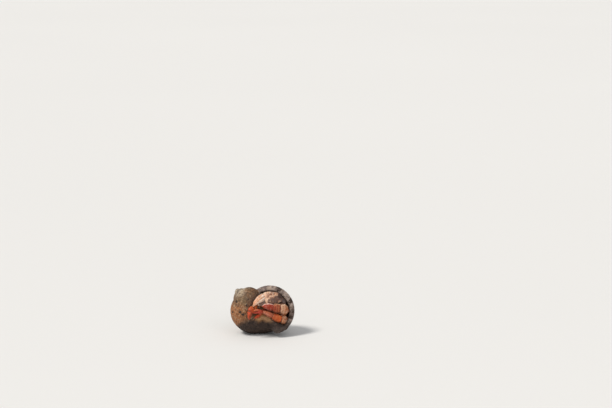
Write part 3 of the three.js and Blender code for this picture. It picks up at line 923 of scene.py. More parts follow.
def plate(start, end, high, wide, bow=(0, 0, 0), rows=60, columns=64, ends=(0.08, 0.08),
          reach=(0, 0), power=2.2, relief=None):
    """The points, faces and values of one plate. Its section is a superellipse:
    |cos|^(2/power) across and |sin|^(2/power) up, so that 2 is an ellipse. `reach`
    carries its two ends on into the joints, along its own line."""
    way = np.subtract(end, start) / np.linalg.norm(np.subtract(end, start))
    start, end = np.asarray(start) - reach[0] * way, np.asarray(end) + reach[1] * way
    f, closing = dome_rows(rows, ends)
    spots, ways = bent_line(start, end, bow, f)
    side = np.cross([0, 0, 1], ways)
    side /= np.linalg.norm(side, axis=1, keepdims=True)
    over = np.cross(ways, side)
    turn = np.linspace(0, TURN, columns, endpoint=False)
    across = np.sign(np.cos(turn)) * np.abs(np.cos(turn)) ** (2 / power)
    up = np.sign(np.sin(turn)) * np.abs(np.sin(turn)) ** (2 / power)
    half_wide, half_high = (eased(v, f) * closing for v in (wide, high))
    grid = spots[:, None] + side[:, None] * (half_wide[:, None] * across)[..., None]
    grid = grid + over[:, None] * (half_high[:, None] * up)[..., None]
    grid = from_face(grid)
    f_grid, turn_grid = np.broadcast_arrays(f[:, None], turn[None, :])
    crest = np.zeros(f_grid.shape)
    if relief:
        height, crest = relief(grid, f_grid, turn_grid)
        grid = grid + normals_of(grid) * (height * closing[:, None] ** 0.5)[..., None]
    poles = from_face(bent_line(start, end, bow, np.array([0.0, 1.0]))[0])
    points = np.concatenate([grid.reshape(-1, 3), poles])
    values = {
        "along": np.append(f_grid, [0, 1]),
        "up": np.append(np.sin(turn_grid), [0, 0]),
        "crest": np.append(crest, [crest[0].mean(), crest[-1].mean()]),
    }
    return points, closed_grid(len(f), columns), values


plain = plate([0, 0, 0], [4, 0, 0], [1, 1], [1, 1])
print("a plain plate has", len(plain[0]), "points and", sum(map(len, plain[1])), "faces")


# %% Use plates, join them, and find the wall
def make_plate(name, made, finish, slot, *nodes):
    """A piece from the points, faces and values of a plate or of joined plates."""
    points, faces, values = made
    make_piece(name, points, faces, finish, nodes, values)


def joined(parts):
    """Several surfaces as one: their points in a row, their faces renumbered."""
    points, faces, start = [], [], 0
    for part_points, part_faces, _ in parts:
        points.append(part_points)
        faces += [block + start for block in part_faces]
        start += len(part_points)
    keys = set(parts[0][2])
    values = {k: np.concatenate([part[2][k] for part in parts]) for k in keys}
    return np.concatenate(points), faces, values


def near_wall(points, reach):
    """1 on the shell's wall, easing to 0 at `reach` from it."""
    return smooth_step(-shell_field(points, detailed=False)[0], -reach, -0.2)


print("two joined plates have", len(joined([plain, plain])[0]), "points")

# %% [markdown]
# The surface of a crab's limb is scaly rather than smooth. Bump in the finish could
# suggest that, but grains this large show on the outline, so they are real height. A
# kind of relief is a function of the point and of the plate's own `f` and `turn`.

# %% Kinds of relief
def granules(points, size, seed, low=0.35):
    """Round grains: a dome over each cell's nearest point, tall or low by chance."""
    nearest, own = grains(points, size, seed)
    dome = np.sqrt(np.clip(1 - (nearest / 0.56) ** 2, 0, 1))
    return dome * (low + (1 - low) * own)


def leg_relief(seed, size=0.34, tall=0.05, keel=0.0):
    """Scale-like grains that are largest on the upper side, over soft wrinkles."""
    def relief(points, f, turn):
        """Grains by turn, lumps, a keel of sin(turn)^10, and a low rim at both ends."""
        upper = 0.35 + 0.65 * smooth_step(np.sin(turn), -0.7, 0.7)
        grain = granules(points, size, seed)
        height = tall * grain * upper + 0.05 * lumps(points, 0.9, seed + 1)
        height = height + keel * np.clip(np.sin(turn), 0, 1) ** 10
        rim = smooth_step(f, 0.0, 0.05) * smooth_step(1 - f, 0.0, 0.05)
        return height - 0.05 * (1 - rim), grain * upper
    return relief


rough = plate([0, 0, 0], [4, 0, 0], [1, 1], [1, 1], relief=leg_relief(7))
print("its grains move it by up to", np.abs(rough[0] - plain[0]).max().round(3), "mm")

# %% [markdown]
# ### The finish of the crab's plates
#
# Land hermit crabs are painted by their plates: the large claw is cream with
# red-brown freckles, the legs are red and orange with cream cloudy bands, and the
# last joint is rose red. A painted highlight runs along the upper edge of most plates,
# and painted shade darkens their undersides. The grains are lighter than the skin
# between them, painted shade darkens a plate where it lies close to the shell's wall,
# and a thin even gloss lies over it all. One function gives every plate its own finish,
# from its colours and how much of each marking it carries.

# %% The crab's colours
CREAM = (0.80, 0.50, 0.33)
PALE = (0.95, 0.77, 0.61)
RED = (0.33, 0.030, 0.008)
ORANGE = (0.50, 0.088, 0.010)
BROWN_RED = (0.15, 0.032, 0.014)
MAUVE = (0.14, 0.095, 0.083)
DARK_RED = (0.10, 0.036, 0.022)
HORN = (0.02, 0.012, 0.01)
UNDERSIDE_SHADE = (0.07, 0.014, 0.005)
WALL_SHADE = (0.030, 0.012, 0.008)
print("a cream plate is", CREAM, "and a red one is", RED)


# %% Paint a plate
def plate_finish(name, tip, base, freckle, freckles=0.5, pale=(0.62, 0.40, 0.27), upper=0.0,
                 clouds=0.3, bands=0.0, grain=0.2, streaks_and_highlights=0.0, dark_tip=0.0, gloss=0.16,
                 ridge=None):
    """The finish of one kind of plate: `tip` and `base` are the ground at its two ends,
    and `pale` and `freckle` the light and dark markings, by the shares that follow.
    `ridge` is the upper edge's colour where that isn't `pale`. That edge is a painted
    highlight, and painted shade where `ridge` is dark."""
    finish = Finish(name, Specular_IOR_Level=0.2, Coat_Roughness=0.25)
    finish.shader.inputs["Subsurface Weight"].default_value = 0.12
    finish.shader.inputs["Subsurface Radius"].default_value = (1.0, 0.45, 0.3)
    finish.shader.inputs["Subsurface Scale"].default_value = 0.4 * MM
    place = finish.place()
    along, up, crest = finish.value("along"), finish.value("up"), finish.value("crest")
    cloud = finish.noise(place, 1.5, 4.0, 0.6, 0.8)
    fine = finish.noise(place, 0.32, 4.0, 0.65)
    # The ground, then the light markings: clouds, bands, streaks, which on the large claw
    # are painted highlights, and the upper edge, a painted highlight, which a dark `ridge`
    # turns into painted shade.
    tone = finish.mix(finish.between(along + 0.35 * cloud, 0.3, 0.9), tip, base)
    tone = finish.mix(finish.between(cloud, 0.5, 0.68) * clouds, tone, pale)
    if bands:
        wave = finish.sine(along * 19.0 + 13.0 * cloud)
        tone = finish.mix(finish.between(wave, 0.2, 1.0) * bands, tone, pale)
        tone = finish.mix(finish.between(wave, -0.2, -0.9) * bands * 1.6, tone, freckle)
    if streaks_and_highlights:
        lengthwise = finish.node("ShaderNodeCombineXYZ", inputs=[along * 0.9, up * 2.6, 0.0])
        streak_and_highlight = finish.between(finish.noise(lengthwise, 1.0, 4.0, 0.6, 0.4), 0.47, 0.58)
        tone = finish.mix(streak_and_highlight * streaks_and_highlights, tone, pale)
    if upper:
        edge = finish.between(up + 0.35 * cloud, 0.78, 1.08)
        tone = finish.mix(edge * upper, tone, ridge or pale)
    # The dark markings: freckles all over, then where the points say, rust that is partly
    # painted shade, and painted shade of dark red and mauve.
    spots = finish.between(finish.noise(place, 0.75, 5.0, 0.7, 1.0), 0.54, 0.63)
    tone = finish.mix(spots * freckles, tone, freckle)
    rust = finish.value("rust") * finish.between(cloud, 0.38, 0.54)
    tone = finish.mix(rust * 0.85, tone, freckle)
    shade = finish.between(finish.value("shade") + 1.6 * (cloud - 0.5) + 0.8 * (fine - 0.5),
                           0.2, 0.75)
    # The painted shade is dark red, turning mauve in places.
    dim = finish.mix(finish.between(fine + 0.9 * cloud, 0.84, 1.06), DARK_RED, MAUVE)
    tone = finish.mix(shade * 0.92, tone, dim)
    # Grains and the skin between them, painted shade on the underside, a fine grain, and
    # painted shade by the shell's wall.
    tone = finish.mix(finish.between(crest, 0.25, 0.8) * grain * (1 - 0.5 * shade), tone, pale)
    between_grains = finish.between(crest, 0.22, 0.0)
    tone = finish.mix(between_grains * 0.22, tone, freckle)
    tone = finish.mix(finish.between(up, -0.5, -1.0) * 0.55, tone, UNDERSIDE_SHADE)
    tone = finish.mix(0.25, tone, finish.mix(fine, (0.1, 0.1, 0.1), (0.9, 0.9, 0.9)), "OVERLAY")
    # Painted shade where the plate lies close to the shell's wall.
    tone = finish.mix(finish.value("by the wall") * 0.85, tone, WALL_SHADE)
    if dark_tip:
        tone = finish.mix(finish.between(along, dark_tip, dark_tip * 0.55), tone, HORN)
    roughness = 0.34 + 0.25 * fine + 0.08 * between_grains
    return finish.done(tone, roughness, fine, 0.03, gloss * (1 - 0.5 * fine))


trial = plate_finish("trial plate", RED, RED, BROWN_RED)
print("the plainest plate finish has", len(trial.node_tree.nodes), "nodes")
bpy.data.materials.remove(trial)

# %% [markdown]
# ## The large left claw
#
# This claw is the door of the shell. Its palm is a swollen oval plate that crosses
# the top of the mouth, covered in grains that stand in rough rows, with a row of
# short ridges high on its outer face that the crab rubs to chirp. Two short thick
# fingers point down to the left. They close on blunt white teeth and end in worn
# pale tips.

# %% Grains, ridges and teeth
def palm_relief(points, f, turn):
    """Grains over the whole palm, taller on the outer face, fused into ridges in one
    patch high on that face, over shallow swellings."""
    face = 0.4 + 0.6 * smooth_step(np.cos(turn), -0.5, 0.6)
    grain = granules(points * [1, 1, 1.15], 0.36, 61, 0.3)
    ridge = 0.5 + 0.5 * np.cos(46 * f + 3 * turn)
    here = smooth_step(-np.abs(f - 0.56), -0.17, -0.08)
    here = here * smooth_step(-np.abs(turn - 0.95), -0.42, -0.2)
    height = 0.10 * grain * face * (1 - here) + 0.10 * ridge * here
    return height + 0.12 * lumps(points, 2.2, 63) - 0.08, grain * (1 - here) + ridge * here


def finger_relief(points, f, turn):
    """Grains in lengthwise rows that die away towards the worn tip."""
    toward_tip = smooth_step(f, 0.98, 0.6)
    rows = 0.5 + 0.5 * np.cos(7 * turn)
    grain = granules(points, 0.34, 67, 0.3)
    height = (0.08 * grain + 0.04 * rows) * toward_tip + 0.06 * lumps(points, 1.1, 69)
    return height - 0.06, grain * toward_tip


def teeth(start, end, out, count, size, seed):
    """Blunt cones set along a finger's cutting edge, tallest in the middle."""
    spread = np.random.default_rng(seed)
    parts = []
    for share in (np.arange(count) + 0.5) / count:
        root = np.array(start) + share * np.subtract(end, start)
        tall = size * (0.6 + 0.4 * np.sin(np.pi * share)) * spread.uniform(0.8, 1.15)
        tip = root + np.array(out) * tall
        wide = [tall * 0.62, tall * 0.5, tall * 0.2]
        parts.append(plate(root, tip, wide, wide, rows=9, columns=14, ends=(0.1, 0.35), power=2))
    return parts


trial = teeth([0, 0, 0], [2, 0, 0], [0, 0, 1], 3, 0.5, 1)
print("three trial teeth have", len(joined(trial)[0]), "points")

# %% [markdown]
# The palm and the finger fixed to it are one hard piece. Its outer face is cream with
# rust at the top, part of which is painted shade, and painted shade in mauve and dark red
# below and where it lies in the shell's shadow. Those places could be left to noise, but
# each is a listed round patch, broken up by the finish.

# %% The palm and its fixed finger
# The palm's pale streaks are painted highlights.
claw_finish = plate_finish("large claw", (0.56, 0.29, 0.16), CREAM, BROWN_RED, 0.65, PALE,
                           clouds=0.75, grain=0.22, streaks_and_highlights=0.4)
palm = plate([6.4, -0.7, 6.4], [-2.6, -3.4, 6.2], [1.4, 2.6, 3.0, 2.45], [1.3, 2.1, 2.2, 1.5],
             [0, -0.7, 0.4], 120, 170, (0.12, 0.16), power=2.1, relief=palm_relief)
fixed_finger = plate([-0.9, -2.9, 5.7], [-4.4, -5.5, 3.5], [1.6, 1.15, 0.3], [1.35, 0.95, 0.3],
                     [0, -0.3, -0.2], 60, 80, (0.1, 0.08), relief=finger_relief)
palm_hand = joined([palm, fixed_finger])
palm_points, _, palm_values = palm_hand
print("the palm has", len(palm_points), "points")


# %% Where the palm's markings lie
def patches(points, places):
    """The most of several round patches, each given as x, z, reach and strength."""
    return np.max([patch_at(points, x, z, reach) * most for x, z, reach, most in places], axis=0)


# The first rust patch is the palm's own freckling, the second painted shade at its upper right. The
# shade patches are painted shade, and the light ones let the claw's own colour show through it.
PALM_RUST_AND_SHADE = [(1.8, 7.4, 3.4, 1.0), (5.4, 8.0, 3.8, 1.0)]
PALM_SHADE = [(-2.2, 4.3, 2.2, 0.8), (1.4, 4.8, 2.4, 0.8), (4.2, 5.6, 3.2, 1.0),
              (7.4, 6.2, 3.0, 1.0), (6.8, 8.4, 2.2, 1.0), (5.0, 6.2, 1.7, 1.0)]
PALM_LIGHT = [(5.3, 4.9, 1.1), (5.7, 4.8, 0.8)]
palm_values["rust"] = patches(palm_points, PALM_RUST_AND_SHADE)
palm_values["shade"] = patches(palm_points, PALM_SHADE)
for x, z, reach in PALM_LIGHT:
    palm_values["shade"] *= 1 - patch_at(palm_points, x, z, reach)
# Painted shade by the shell's wall, and a patch of the lip's painted shadow at the upper right.
palm_values["by the wall"] = np.maximum(
    near_wall(palm_points, 2.3), patch_at(palm_points, 5.6, 7.7, 1.8)
)
make_plate("large_claw_palm_plate", palm_hand, claw_finish, "large_claw", "large_claw_palm")
print("shade covers", (palm_values["shade"] > 0.5).mean().round(2), "of the palm")

# %% [markdown]
# The moving finger is the long pale plate that shows most. Its grains fade where sand
# has polished it, and pale streaks of painted highlight run to its tip. Teeth are cones
# of the same kind as a plate, only very short, so the same function makes them. The
# wrist and the arm carry the claw and vanish behind it; their dark mauve is painted shade.

# %% The moving finger and the teeth
# The finger's broad pale streaks are painted highlights along its lit top.
finger_finish = plate_finish("large claw finger", (0.66, 0.32, 0.16), (0.78, 0.38, 0.21),
                             BROWN_RED, 0.45, (1.0, 0.88, 0.74), clouds=0.35, grain=0.2,
                             streaks_and_highlights=1.0)
moving_finger = plate([-1.2, -4.0, 7.5], [-6.5, -6.3, 2.8], [1.6, 1.6, 1.1, 0.3],
                      [1.1, 1.3, 0.95, 0.3], [-0.5, -0.3, 0.3], 90, 90, (0.12, 0.05),
                      relief=finger_relief)
make_plate("large_claw_finger_plate", moving_finger, finger_finish, "large_claw",
           "large_claw_finger")
tooth_finish = plate_finish("teeth", (0.82, 0.74, 0.62), (0.86, 0.80, 0.70), BROWN_RED, 0.1,
                            gloss=0.5)
claw_teeth = joined(
    teeth([-2.6, -4.3, 5.0], [-4.3, -5.5, 3.7], [-0.75, -0.25, 0.45], 5, 0.55, 71)
    + teeth([-3.2, -5.0, 6.1], [-5.6, -6.1, 3.7], [0.75, 0.1, -0.5], 6, 0.5, 72)
)
make_plate("large_claw_teeth", claw_teeth, tooth_finish, "large_claw")
print("the teeth have", len(claw_teeth[0]), "points")

# %% The wrist and the arm
# The wrist and the arm are dark mauve: painted shade, where they lie behind the palm.
shaded_wrist_finish = plate_finish("claw wrist in painted shade", (0.15, 0.095, 0.08), MAUVE, DARK_RED, 0.8,
                            (0.46, 0.36, 0.32), clouds=0.35, grain=0.2)
wrist = plate([6.3, 2.6, 4.6], [6.0, -0.6, 5.8], [1.2, 2.0, 1.5], [1.3, 2.0, 1.5], rows=70,
              columns=90, ends=(0.2, 0.25), reach=(0, 0.25), relief=palm_relief)
# Painted shade by the shell's wall.
wrist[2]["by the wall"] = near_wall(wrist[0], 1.6)
make_plate("large_claw_wrist_plate", wrist, shaded_wrist_finish, "large_claw", "large_claw_wrist")
arm = plate([1.8, 4.6, 2.6], [6.1, 3.4, 4.2], [0.9, 1.6, 1.3], [0.9, 1.4, 1.2], rows=50,
            columns=60, ends=(0.15, 0.2), relief=leg_relief(74))
make_plate("large_claw_arm_plate", arm, shaded_wrist_finish, "leg", "large_claw_arm")
print("the wrist is", np.ptp(wrist[0], axis=0).round(1), "mm over its box")

# %% [markdown]
# ## The walking legs
#
# Each of the four walking legs is four plates: the long curved tip joint, the flat
# hand, the short thick knee and the thigh, which is hidden in the shell. The left
# pair close the mouth below the claw and point to the left, and the right pair hang
# down at the left edge of the mouth. Small thorns stand along the upper edges, and
# the tip joint ends in a dark horny point.

# %% The plates of a leg
SEGMENTS = ["dactyl", "propodus", "carpus", "merus"]
LEG_SHAPES = {
    "dactyl": {"high": [0.10, 0.62, 0.9, 0.85], "wide": [0.09, 0.52, 0.7, 0.7],
               "bow": (0, -0.2, 0.2), "ends": (0.03, 0.1), "rows": 90},
    "propodus": {"high": [0.98, 1.2, 1.12], "wide": [0.8, 0.98, 0.9], "ends": (0.14, 0.12)},
    "carpus": {"high": [1.1, 1.48, 1.1], "wide": [0.9, 1.08, 0.9], "ends": (0.18, 0.16)},
    "merus": {"high": [1.0, 1.3, 1.0], "wide": [0.8, 1.0, 0.8], "ends": (0.15, 0.1)},
}
print("a leg is", SEGMENTS, "from its tip inwards")


# %% Thorns and joint skin
def thorns(joints, size, seed):
    """Short thorns in two uneven rows along the upper edge of the middle two plates."""
    spread = np.random.default_rng(seed)
    parts = []
    for i, count in ((1, 7), (2, 6)):
        a, b = np.array(joints[i]), np.array(joints[i + 1])
        high = LEG_SHAPES[SEGMENTS[i]]["high"]
        for share in np.linspace(0.12, 0.88, count):
            lean = spread.uniform(-0.5, 0.1)
            out = np.array([0, np.sin(lean), np.cos(lean)])
            root = a + share * (b - a) + out * size * eased(high, np.array([share]))[0] * 0.93
            tall = size * spread.uniform(0.22, 0.4)
            tip = root + tall * (out - 0.5 * (b - a) / np.linalg.norm(b - a))
            wide = [0.4 * tall, 0.3 * tall, 0.08 * tall]
            parts.append(plate(root, tip, wide, wide, rows=8, columns=10, power=2))
    return parts


def joint_skins(joints, size):
    """A soft ball inside each joint, lengthened along the limb's way through it."""
    skins = []
    for i in (1, 2, 3):
        way = np.subtract(joints[i + 1], joints[i - 1])
        way = way / np.linalg.norm(way) * size
        ball = [0.66 * size, 0.74 * size, 0.66 * size]
        skins.append(plate(joints[i] - 0.6 * way, joints[i] + 0.6 * way, ball, ball, rows=16,
                           columns=28, ends=(0.35, 0.35), power=2))
    return skins


trial_joints = [[0, 0, 0], [3, 0, 0], [6, 0, 0], [9, 0, 0], [12, 0, 0]]
print("a leg has", len(thorns(trial_joints, 1.0, 1)), "thorns")
print("and", len(joint_skins(trial_joints, 1.0)), "balls of skin")

# %% Build one leg from its joints
BEDS = []  # plates that bristles will grow on: each with its columns and count of tufts


def walking_leg(name, size, tall, joints, finishes, seed):
    """Four plates from the tip inwards, with thorns on the middle two and a soft ball
    of skin inside each joint. The left knees get painted shade near the shell's wall."""
    for i, segment in enumerate(SEGMENTS):
        shape = dict(LEG_SHAPES[segment])
        high, wide = (size * np.array(shape.pop(key)) for key in ("high", "wide"))
        high = high * tall
        keel = 0.08 * size if segment in ("propodus", "dactyl") else 0.0
        made = plate(joints[i], joints[i + 1], high, wide, columns=72, power=2.3,
                     reach=(0.12 * size * (i > 0), 0.1 * size),
                     relief=leg_relief(seed + i, 0.36, 0.07 * size, keel), **shape)
        # Painted shade on the left knees by the shell's wall.
        if name.startswith("left") and segment == "carpus":
            made[2]["by the wall"] = near_wall(made[0], 1.15 * size**2)
        node = f"{name}_{segment}"
        make_plate(f"{node}_plate", made, finishes[segment], "leg", node)
        if segment != "merus":
            BEDS.append((made, 72, 55))
    made = joined(thorns(joints, size * tall, seed))
    make_plate(f"{name}_thorns", made, finishes["thorn"], "leg")
    make_plate(f"{name}_joint_skin", joined(joint_skins(joints, size)), finishes["skin"], "soft")


print("the knee is", LEG_SHAPES["carpus"]["high"][1], "times a leg's size in half height")

# %% [markdown]
# Each leg could share one red finish, but the real one changes from plate to plate:
# rose at the tip, red and orange on the hand, and tan with cream clouds on the knee. A
# table of finishes by plate keeps that order easy to read. The second left leg and
# the right legs start from the first leg's table and change what differs.

# %% The colours of the legs
# The pale upper edges of these plates are painted highlights.
upper_finishes = {
    "dactyl": plate_finish("first leg tip", (0.36, 0.05, 0.022), RED, BROWN_RED, 0.5,
                           (0.95, 0.63, 0.52), upper=1.0, grain=0.1, dark_tip=0.05),
    "propodus": plate_finish("first leg hand", RED, (0.34, 0.06, 0.014), BROWN_RED, 0.6,
                             (0.56, 0.22, 0.10), upper=0.8, bands=0.35, grain=0.1,
                             ridge=(0.66, 0.38, 0.22)),
    "carpus": plate_finish("first leg knee", (0.66, 0.37, 0.22), (0.46, 0.12, 0.02), BROWN_RED,
                           0.6, (0.88, 0.62, 0.43), upper=0.75, clouds=0.6, bands=0.2),
    "merus": plate_finish("first leg thigh", ORANGE, RED, BROWN_RED, 0.5),
    "thorn": plate_finish("leg thorns", ORANGE, (0.60, 0.38, 0.24), BROWN_RED, 0.1, gloss=0.6),
    "skin": plate_finish("joint skin", (0.22, 0.06, 0.03), (0.24, 0.06, 0.03), BROWN_RED, 0.3),
}
lower_finishes = dict(
    upper_finishes,
    # The second leg's dark upper edges are painted shade, in the gap under the first leg.
    dactyl=plate_finish("second leg tip", (0.44, 0.12, 0.045), (0.42, 0.09, 0.032), BROWN_RED,
                        0.45, (0.74, 0.34, 0.24), upper=0.8, streaks_and_highlights=0.55, grain=0.1,
                        dark_tip=0.06, ridge=(0.17, 0.034, 0.010)),
    propodus=plate_finish("second leg hand", (0.42, 0.085, 0.022), ORANGE, RED, 0.5,
                          (0.58, 0.26, 0.09), upper=0.5, bands=0.15, grain=0.12,
                          ridge=(0.24, 0.05, 0.012)),
    carpus=plate_finish("second leg knee", (0.52, 0.20, 0.08), (0.38, 0.11, 0.03), BROWN_RED,
                        0.6, (0.82, 0.56, 0.40), clouds=0.7, bands=0.2),
)
right_finishes = dict(
    upper_finishes,
    dactyl=plate_finish("right leg tip", (0.54, 0.066, 0.02), (0.58, 0.07, 0.018), RED, 0.4,
                        (0.66, 0.24, 0.15), grain=0.1, dark_tip=0.06),
    propodus=plate_finish("right leg hand", (0.48, 0.06, 0.016), (0.48, 0.085, 0.014), BROWN_RED,
                          0.4, (0.60, 0.22, 0.09), grain=0.12),
    carpus=plate_finish("right leg knee", (0.58, 0.12, 0.016), ORANGE, BROWN_RED, 0.4,
                        (0.64, 0.28, 0.10)),
)

print("each leg has a finish for its", list(upper_finishes))

# %% [markdown]
# A leg is placed by five points in the face frame: its tip, three joints and its root.
# They are those of the packed model, so each plate stands where the packed one does.

# %% The four legs in place
walking_leg("left_leg_1", 1.35, 1.25, [[-2.8, -5.1, 3.1], [2.2, -3.5, 2.4], [5.1, -2.4, 2.05],
                                       [8.4, 0.2, 1.3], [3.2, 4.8, 1.2]], upper_finishes, 101)
walking_leg("left_leg_2", 1.2, 1.15, [[-3.0, -4.2, 1.0], [1.9, -2.7, -1.1], [5.7, -1.6, -2.6],
                                      [8.0, 0.5, -2.8], [3.8, 4.8, -1.2]], lower_finishes, 111)
walking_leg("right_leg_1", 1.25, 1.0, [[-8.2, -5.0, -2.9], [-7.7, -5.9, 0.7], [-6.4, -5.2, 2.1],
                                       [-3.9, -2.3, 2.2], [-0.9, 3.8, 2.0]], right_finishes, 121)
walking_leg("right_leg_2", 0.8, 1.0, [[-5.9, -5.0, -2.3], [-3.8, -3.4, -0.9], [-3.3, -3.1, 0.5],
                                      [-0.9, -1.7, 0.8], [2.4, 4.4, 0.6]], right_finishes, 131)
print("four legs have", len(BEDS), "plates that show")

# %% [markdown]
# ## The small right claw
#
# The small claw is tucked in at the left of the mouth, pink-red and more hairy than
# the large one. Its two fingers meet along their whole length and end in spoon-like
# horny tips.

# %% The small claw's plates
rosy = plate_finish("small claw", (0.50, 0.055, 0.030), (0.48, 0.052, 0.028), RED, 0.5,
                    (0.66, 0.22, 0.15), clouds=0.25, grain=0.1)
rosy_finger = plate_finish("small claw finger", (0.54, 0.16, 0.075), (0.52, 0.13, 0.05), RED,
                           0.4, (0.68, 0.31, 0.19), grain=0.1)
small_palm = plate([-2.4, -3.6, 0.8], [-4.6, -5.9, 0.8], [0.8, 1.1, 0.95], [0.7, 1.0, 0.8],
                   rows=60, columns=80, ends=(0.2, 0.2), relief=leg_relief(141, 0.3, 0.07))
small_fixed = plate([-4.1, -5.5, 0.5], [-6.3, -7.3, 0.2], [0.55, 0.45, 0.16],
                    [0.55, 0.42, 0.16], rows=40, columns=48, relief=leg_relief(142, 0.25, 0.03))
make_plate("small_claw_palm_plate", joined([small_palm, small_fixed]), rosy, "small_claw",
           "small_claw_palm")
BEDS += [(small_palm, 80, 60), (small_fixed, 48, 25)]
small_finger = plate([-4.2, -5.7, 1.5], [-6.3, -7.4, 0.9], [0.5, 0.47, 0.16], [0.5, 0.44, 0.16],
                     [0, -0.1, 0.15], 40, 48, relief=leg_relief(143, 0.25, 0.03))
make_plate("small_claw_finger_plate", small_finger, rosy_finger, "small_claw",
           "small_claw_finger")
small_wrist = plate([-0.3, -1.4, 1.5], [-2.5, -3.7, 0.8], [0.7, 0.95, 0.8], [0.6, 0.85, 0.7],
                    ends=(0.2, 0.2), reach=(0, 0.15), relief=leg_relief(144, 0.3, 0.06))
make_plate("small_claw_wrist_plate", small_wrist, rosy, "small_claw", "small_claw_wrist")
small_arm = plate([0.6, 3.2, 1.9], [-0.2, -1.2, 1.6], [0.7, 0.9, 0.7], [0.6, 0.8, 0.6],
                  ends=(0.12, 0.12), relief=leg_relief(145, 0.3, 0.05))
make_plate("small_claw_arm_plate", small_arm, rosy, "leg", "small_claw_arm")
print(len(BEDS), "plates will carry bristles")

# %% [markdown]
# ## Eyes, feelers and mouthparts
#
# The eyes look out from under the claw's fingers. Each is a long dark dome with a
# fine mosaic of facets and a strong gloss, on a flat cream stalk. The long feelers
# are jointed whips of many short rings on a stout stem. The short feelers bend in
# the middle and end in a brush, and the mouthparts fold in front of the jaws.

# %% The eyes and their stalks
def facet_relief(points, f, turn):
    """Shallow facets, one for each cell of a fine lattice."""
    nearest, _ = grains(points, 0.13, 151)
    return -0.012 * smooth_step(nearest, 0.3, 0.75), nearest


eye_finish = Finish("eye", Specular_IOR_Level=0.4, Coat_Roughness=0.05)
eye_up = eye_finish.value("up")
eye_cloud = eye_finish.noise(eye_finish.place(), 0.5)
eye_tone = eye_finish.mix(eye_cloud, (0.012, 0.006, 0.003), (0.045, 0.022, 0.008))
# The top of the eye is lighter: a painted highlight.
eye_tone = eye_finish.mix(eye_finish.between(eye_up, 0.2, 1.0) * 0.3, eye_tone, (0.10, 0.05, 0.018))
eye_finish.done(eye_tone, 0.18 + 0.1 * eye_cloud, coat=0.25)
# The eyestalk's pale upper edge is a painted highlight.
stalk_finish = plate_finish("eyestalk", (0.40, 0.22, 0.10), (0.34, 0.16, 0.07), BROWN_RED, 0.5,
                            (0.60, 0.42, 0.26), upper=0.5)
EYES = {
    "left": {"stalk": [-1.6, -0.9, 2.1], "neck": [-3.0, -4.6, 1.95], "tip": [-3.5, -5.6, 1.9]},
    "right": {"stalk": [-2.2, -1.0, 2.4], "neck": [-4.0, -4.95, 2.6], "tip": [-4.5, -6.0, 2.65]},
}
for side, eye in EYES.items():
    made = plate(eye["neck"], eye["tip"], [0.42, 0.55, 0.45], [0.34, 0.42, 0.34], rows=50,
                 columns=64, ends=(0.3, 0.5), reach=(0.3, 0), power=2, relief=facet_relief)
    make_plate(f"{side}_eye_dome", made, eye_finish.material, "eye", f"{side}_eye")
    made = plate(eye["stalk"], eye["neck"], [0.6, 0.45, 0.45], [0.5, 0.36, 0.38], rows=50,
                 columns=48, ends=(0.06, 0.08), relief=leg_relief(153, 0.5, 0.03))
    scale_root = np.add(eye["stalk"], eye["neck"]) / 2 + [0.1, -0.2, 0.35]
    scale = plate(scale_root, scale_root + [-0.5, -1.0, 0.25], [0.18, 0.2, 0.05],
                  [0.3, 0.34, 0.05], rows=20, columns=24)
    make_plate(f"{side}_eyestalk_plate", joined([made, scale]), stalk_finish, "feeler",
               f"{side}_eyestalk")
    long = np.linalg.norm(np.subtract(eye["tip"], eye["neck"]))
    print("the", side, "eye's dome is", long.round(2), "mm long")

# %% [markdown]
# A long feeler is a whip of short rings that grow ever thinner. Each ring could be a
# piece, but one tapering plate with a groove between each two rings looks the same
# and bends more smoothly. Both whips are folded back along the legs.

# %% The long feelers
def ring_relief(count, depth):
    """Rings along a feeler or a small limb."""
    def relief(points, f, turn):
        """A groove between each two of `count` rings."""
        groove = np.abs(np.cos(np.pi * count * f)) ** 10
        return -depth * groove, 1 - groove
    return relief


feeler_finish = plate_finish("feeler", (0.06, 0.018, 0.010), (0.14, 0.035, 0.014), BROWN_RED, 0.4,
                             (0.26, 0.09, 0.04), clouds=0.1, grain=0.12)
FEELERS = {
    "left": [[1.6, 0.0, 1.9], [-0.2, -4.2, 1.6], [6.8, -2.5, -0.55]],
    "right": [[0.7, 0.6, 0.6], [0.5, -2.2, 1.1], [4.6, -0.2, 0.2]],
}
for side, (root, elbow, tip) in FEELERS.items():
    lash_size = [0.31, 0.26, 0.22, 0.12]
    made = plate(elbow, tip, lash_size, lash_size, [0, -0.3, 0.15], 300, 24, (0.02, 0.02),
                 power=2, relief=ring_relief(34, 0.035))
    make_plate(f"{side}_feeler_lash_rings", made, feeler_finish, "feeler",
               f"{side}_feeler_lash")
    made = plate(root, elbow, [0.5, 0.6, 0.42], [0.45, 0.55, 0.38], rows=90, columns=40,
                 ends=(0.08, 0.1), reach=(0, 0.12), relief=ring_relief(3, 0.10))
    make_plate(f"{side}_feeler_stem_plates", made, feeler_finish, "feeler",
               f"{side}_feeler_stem")
    print("the", side, "lash ends at", np.round(from_face(tip), 1))

# %% [markdown]
# The short feelers are the crab's nose, and its mouthparts sweep food to the jaws. Both
# are ringed like the long feelers, only stouter, and both end in a brush of bristles.

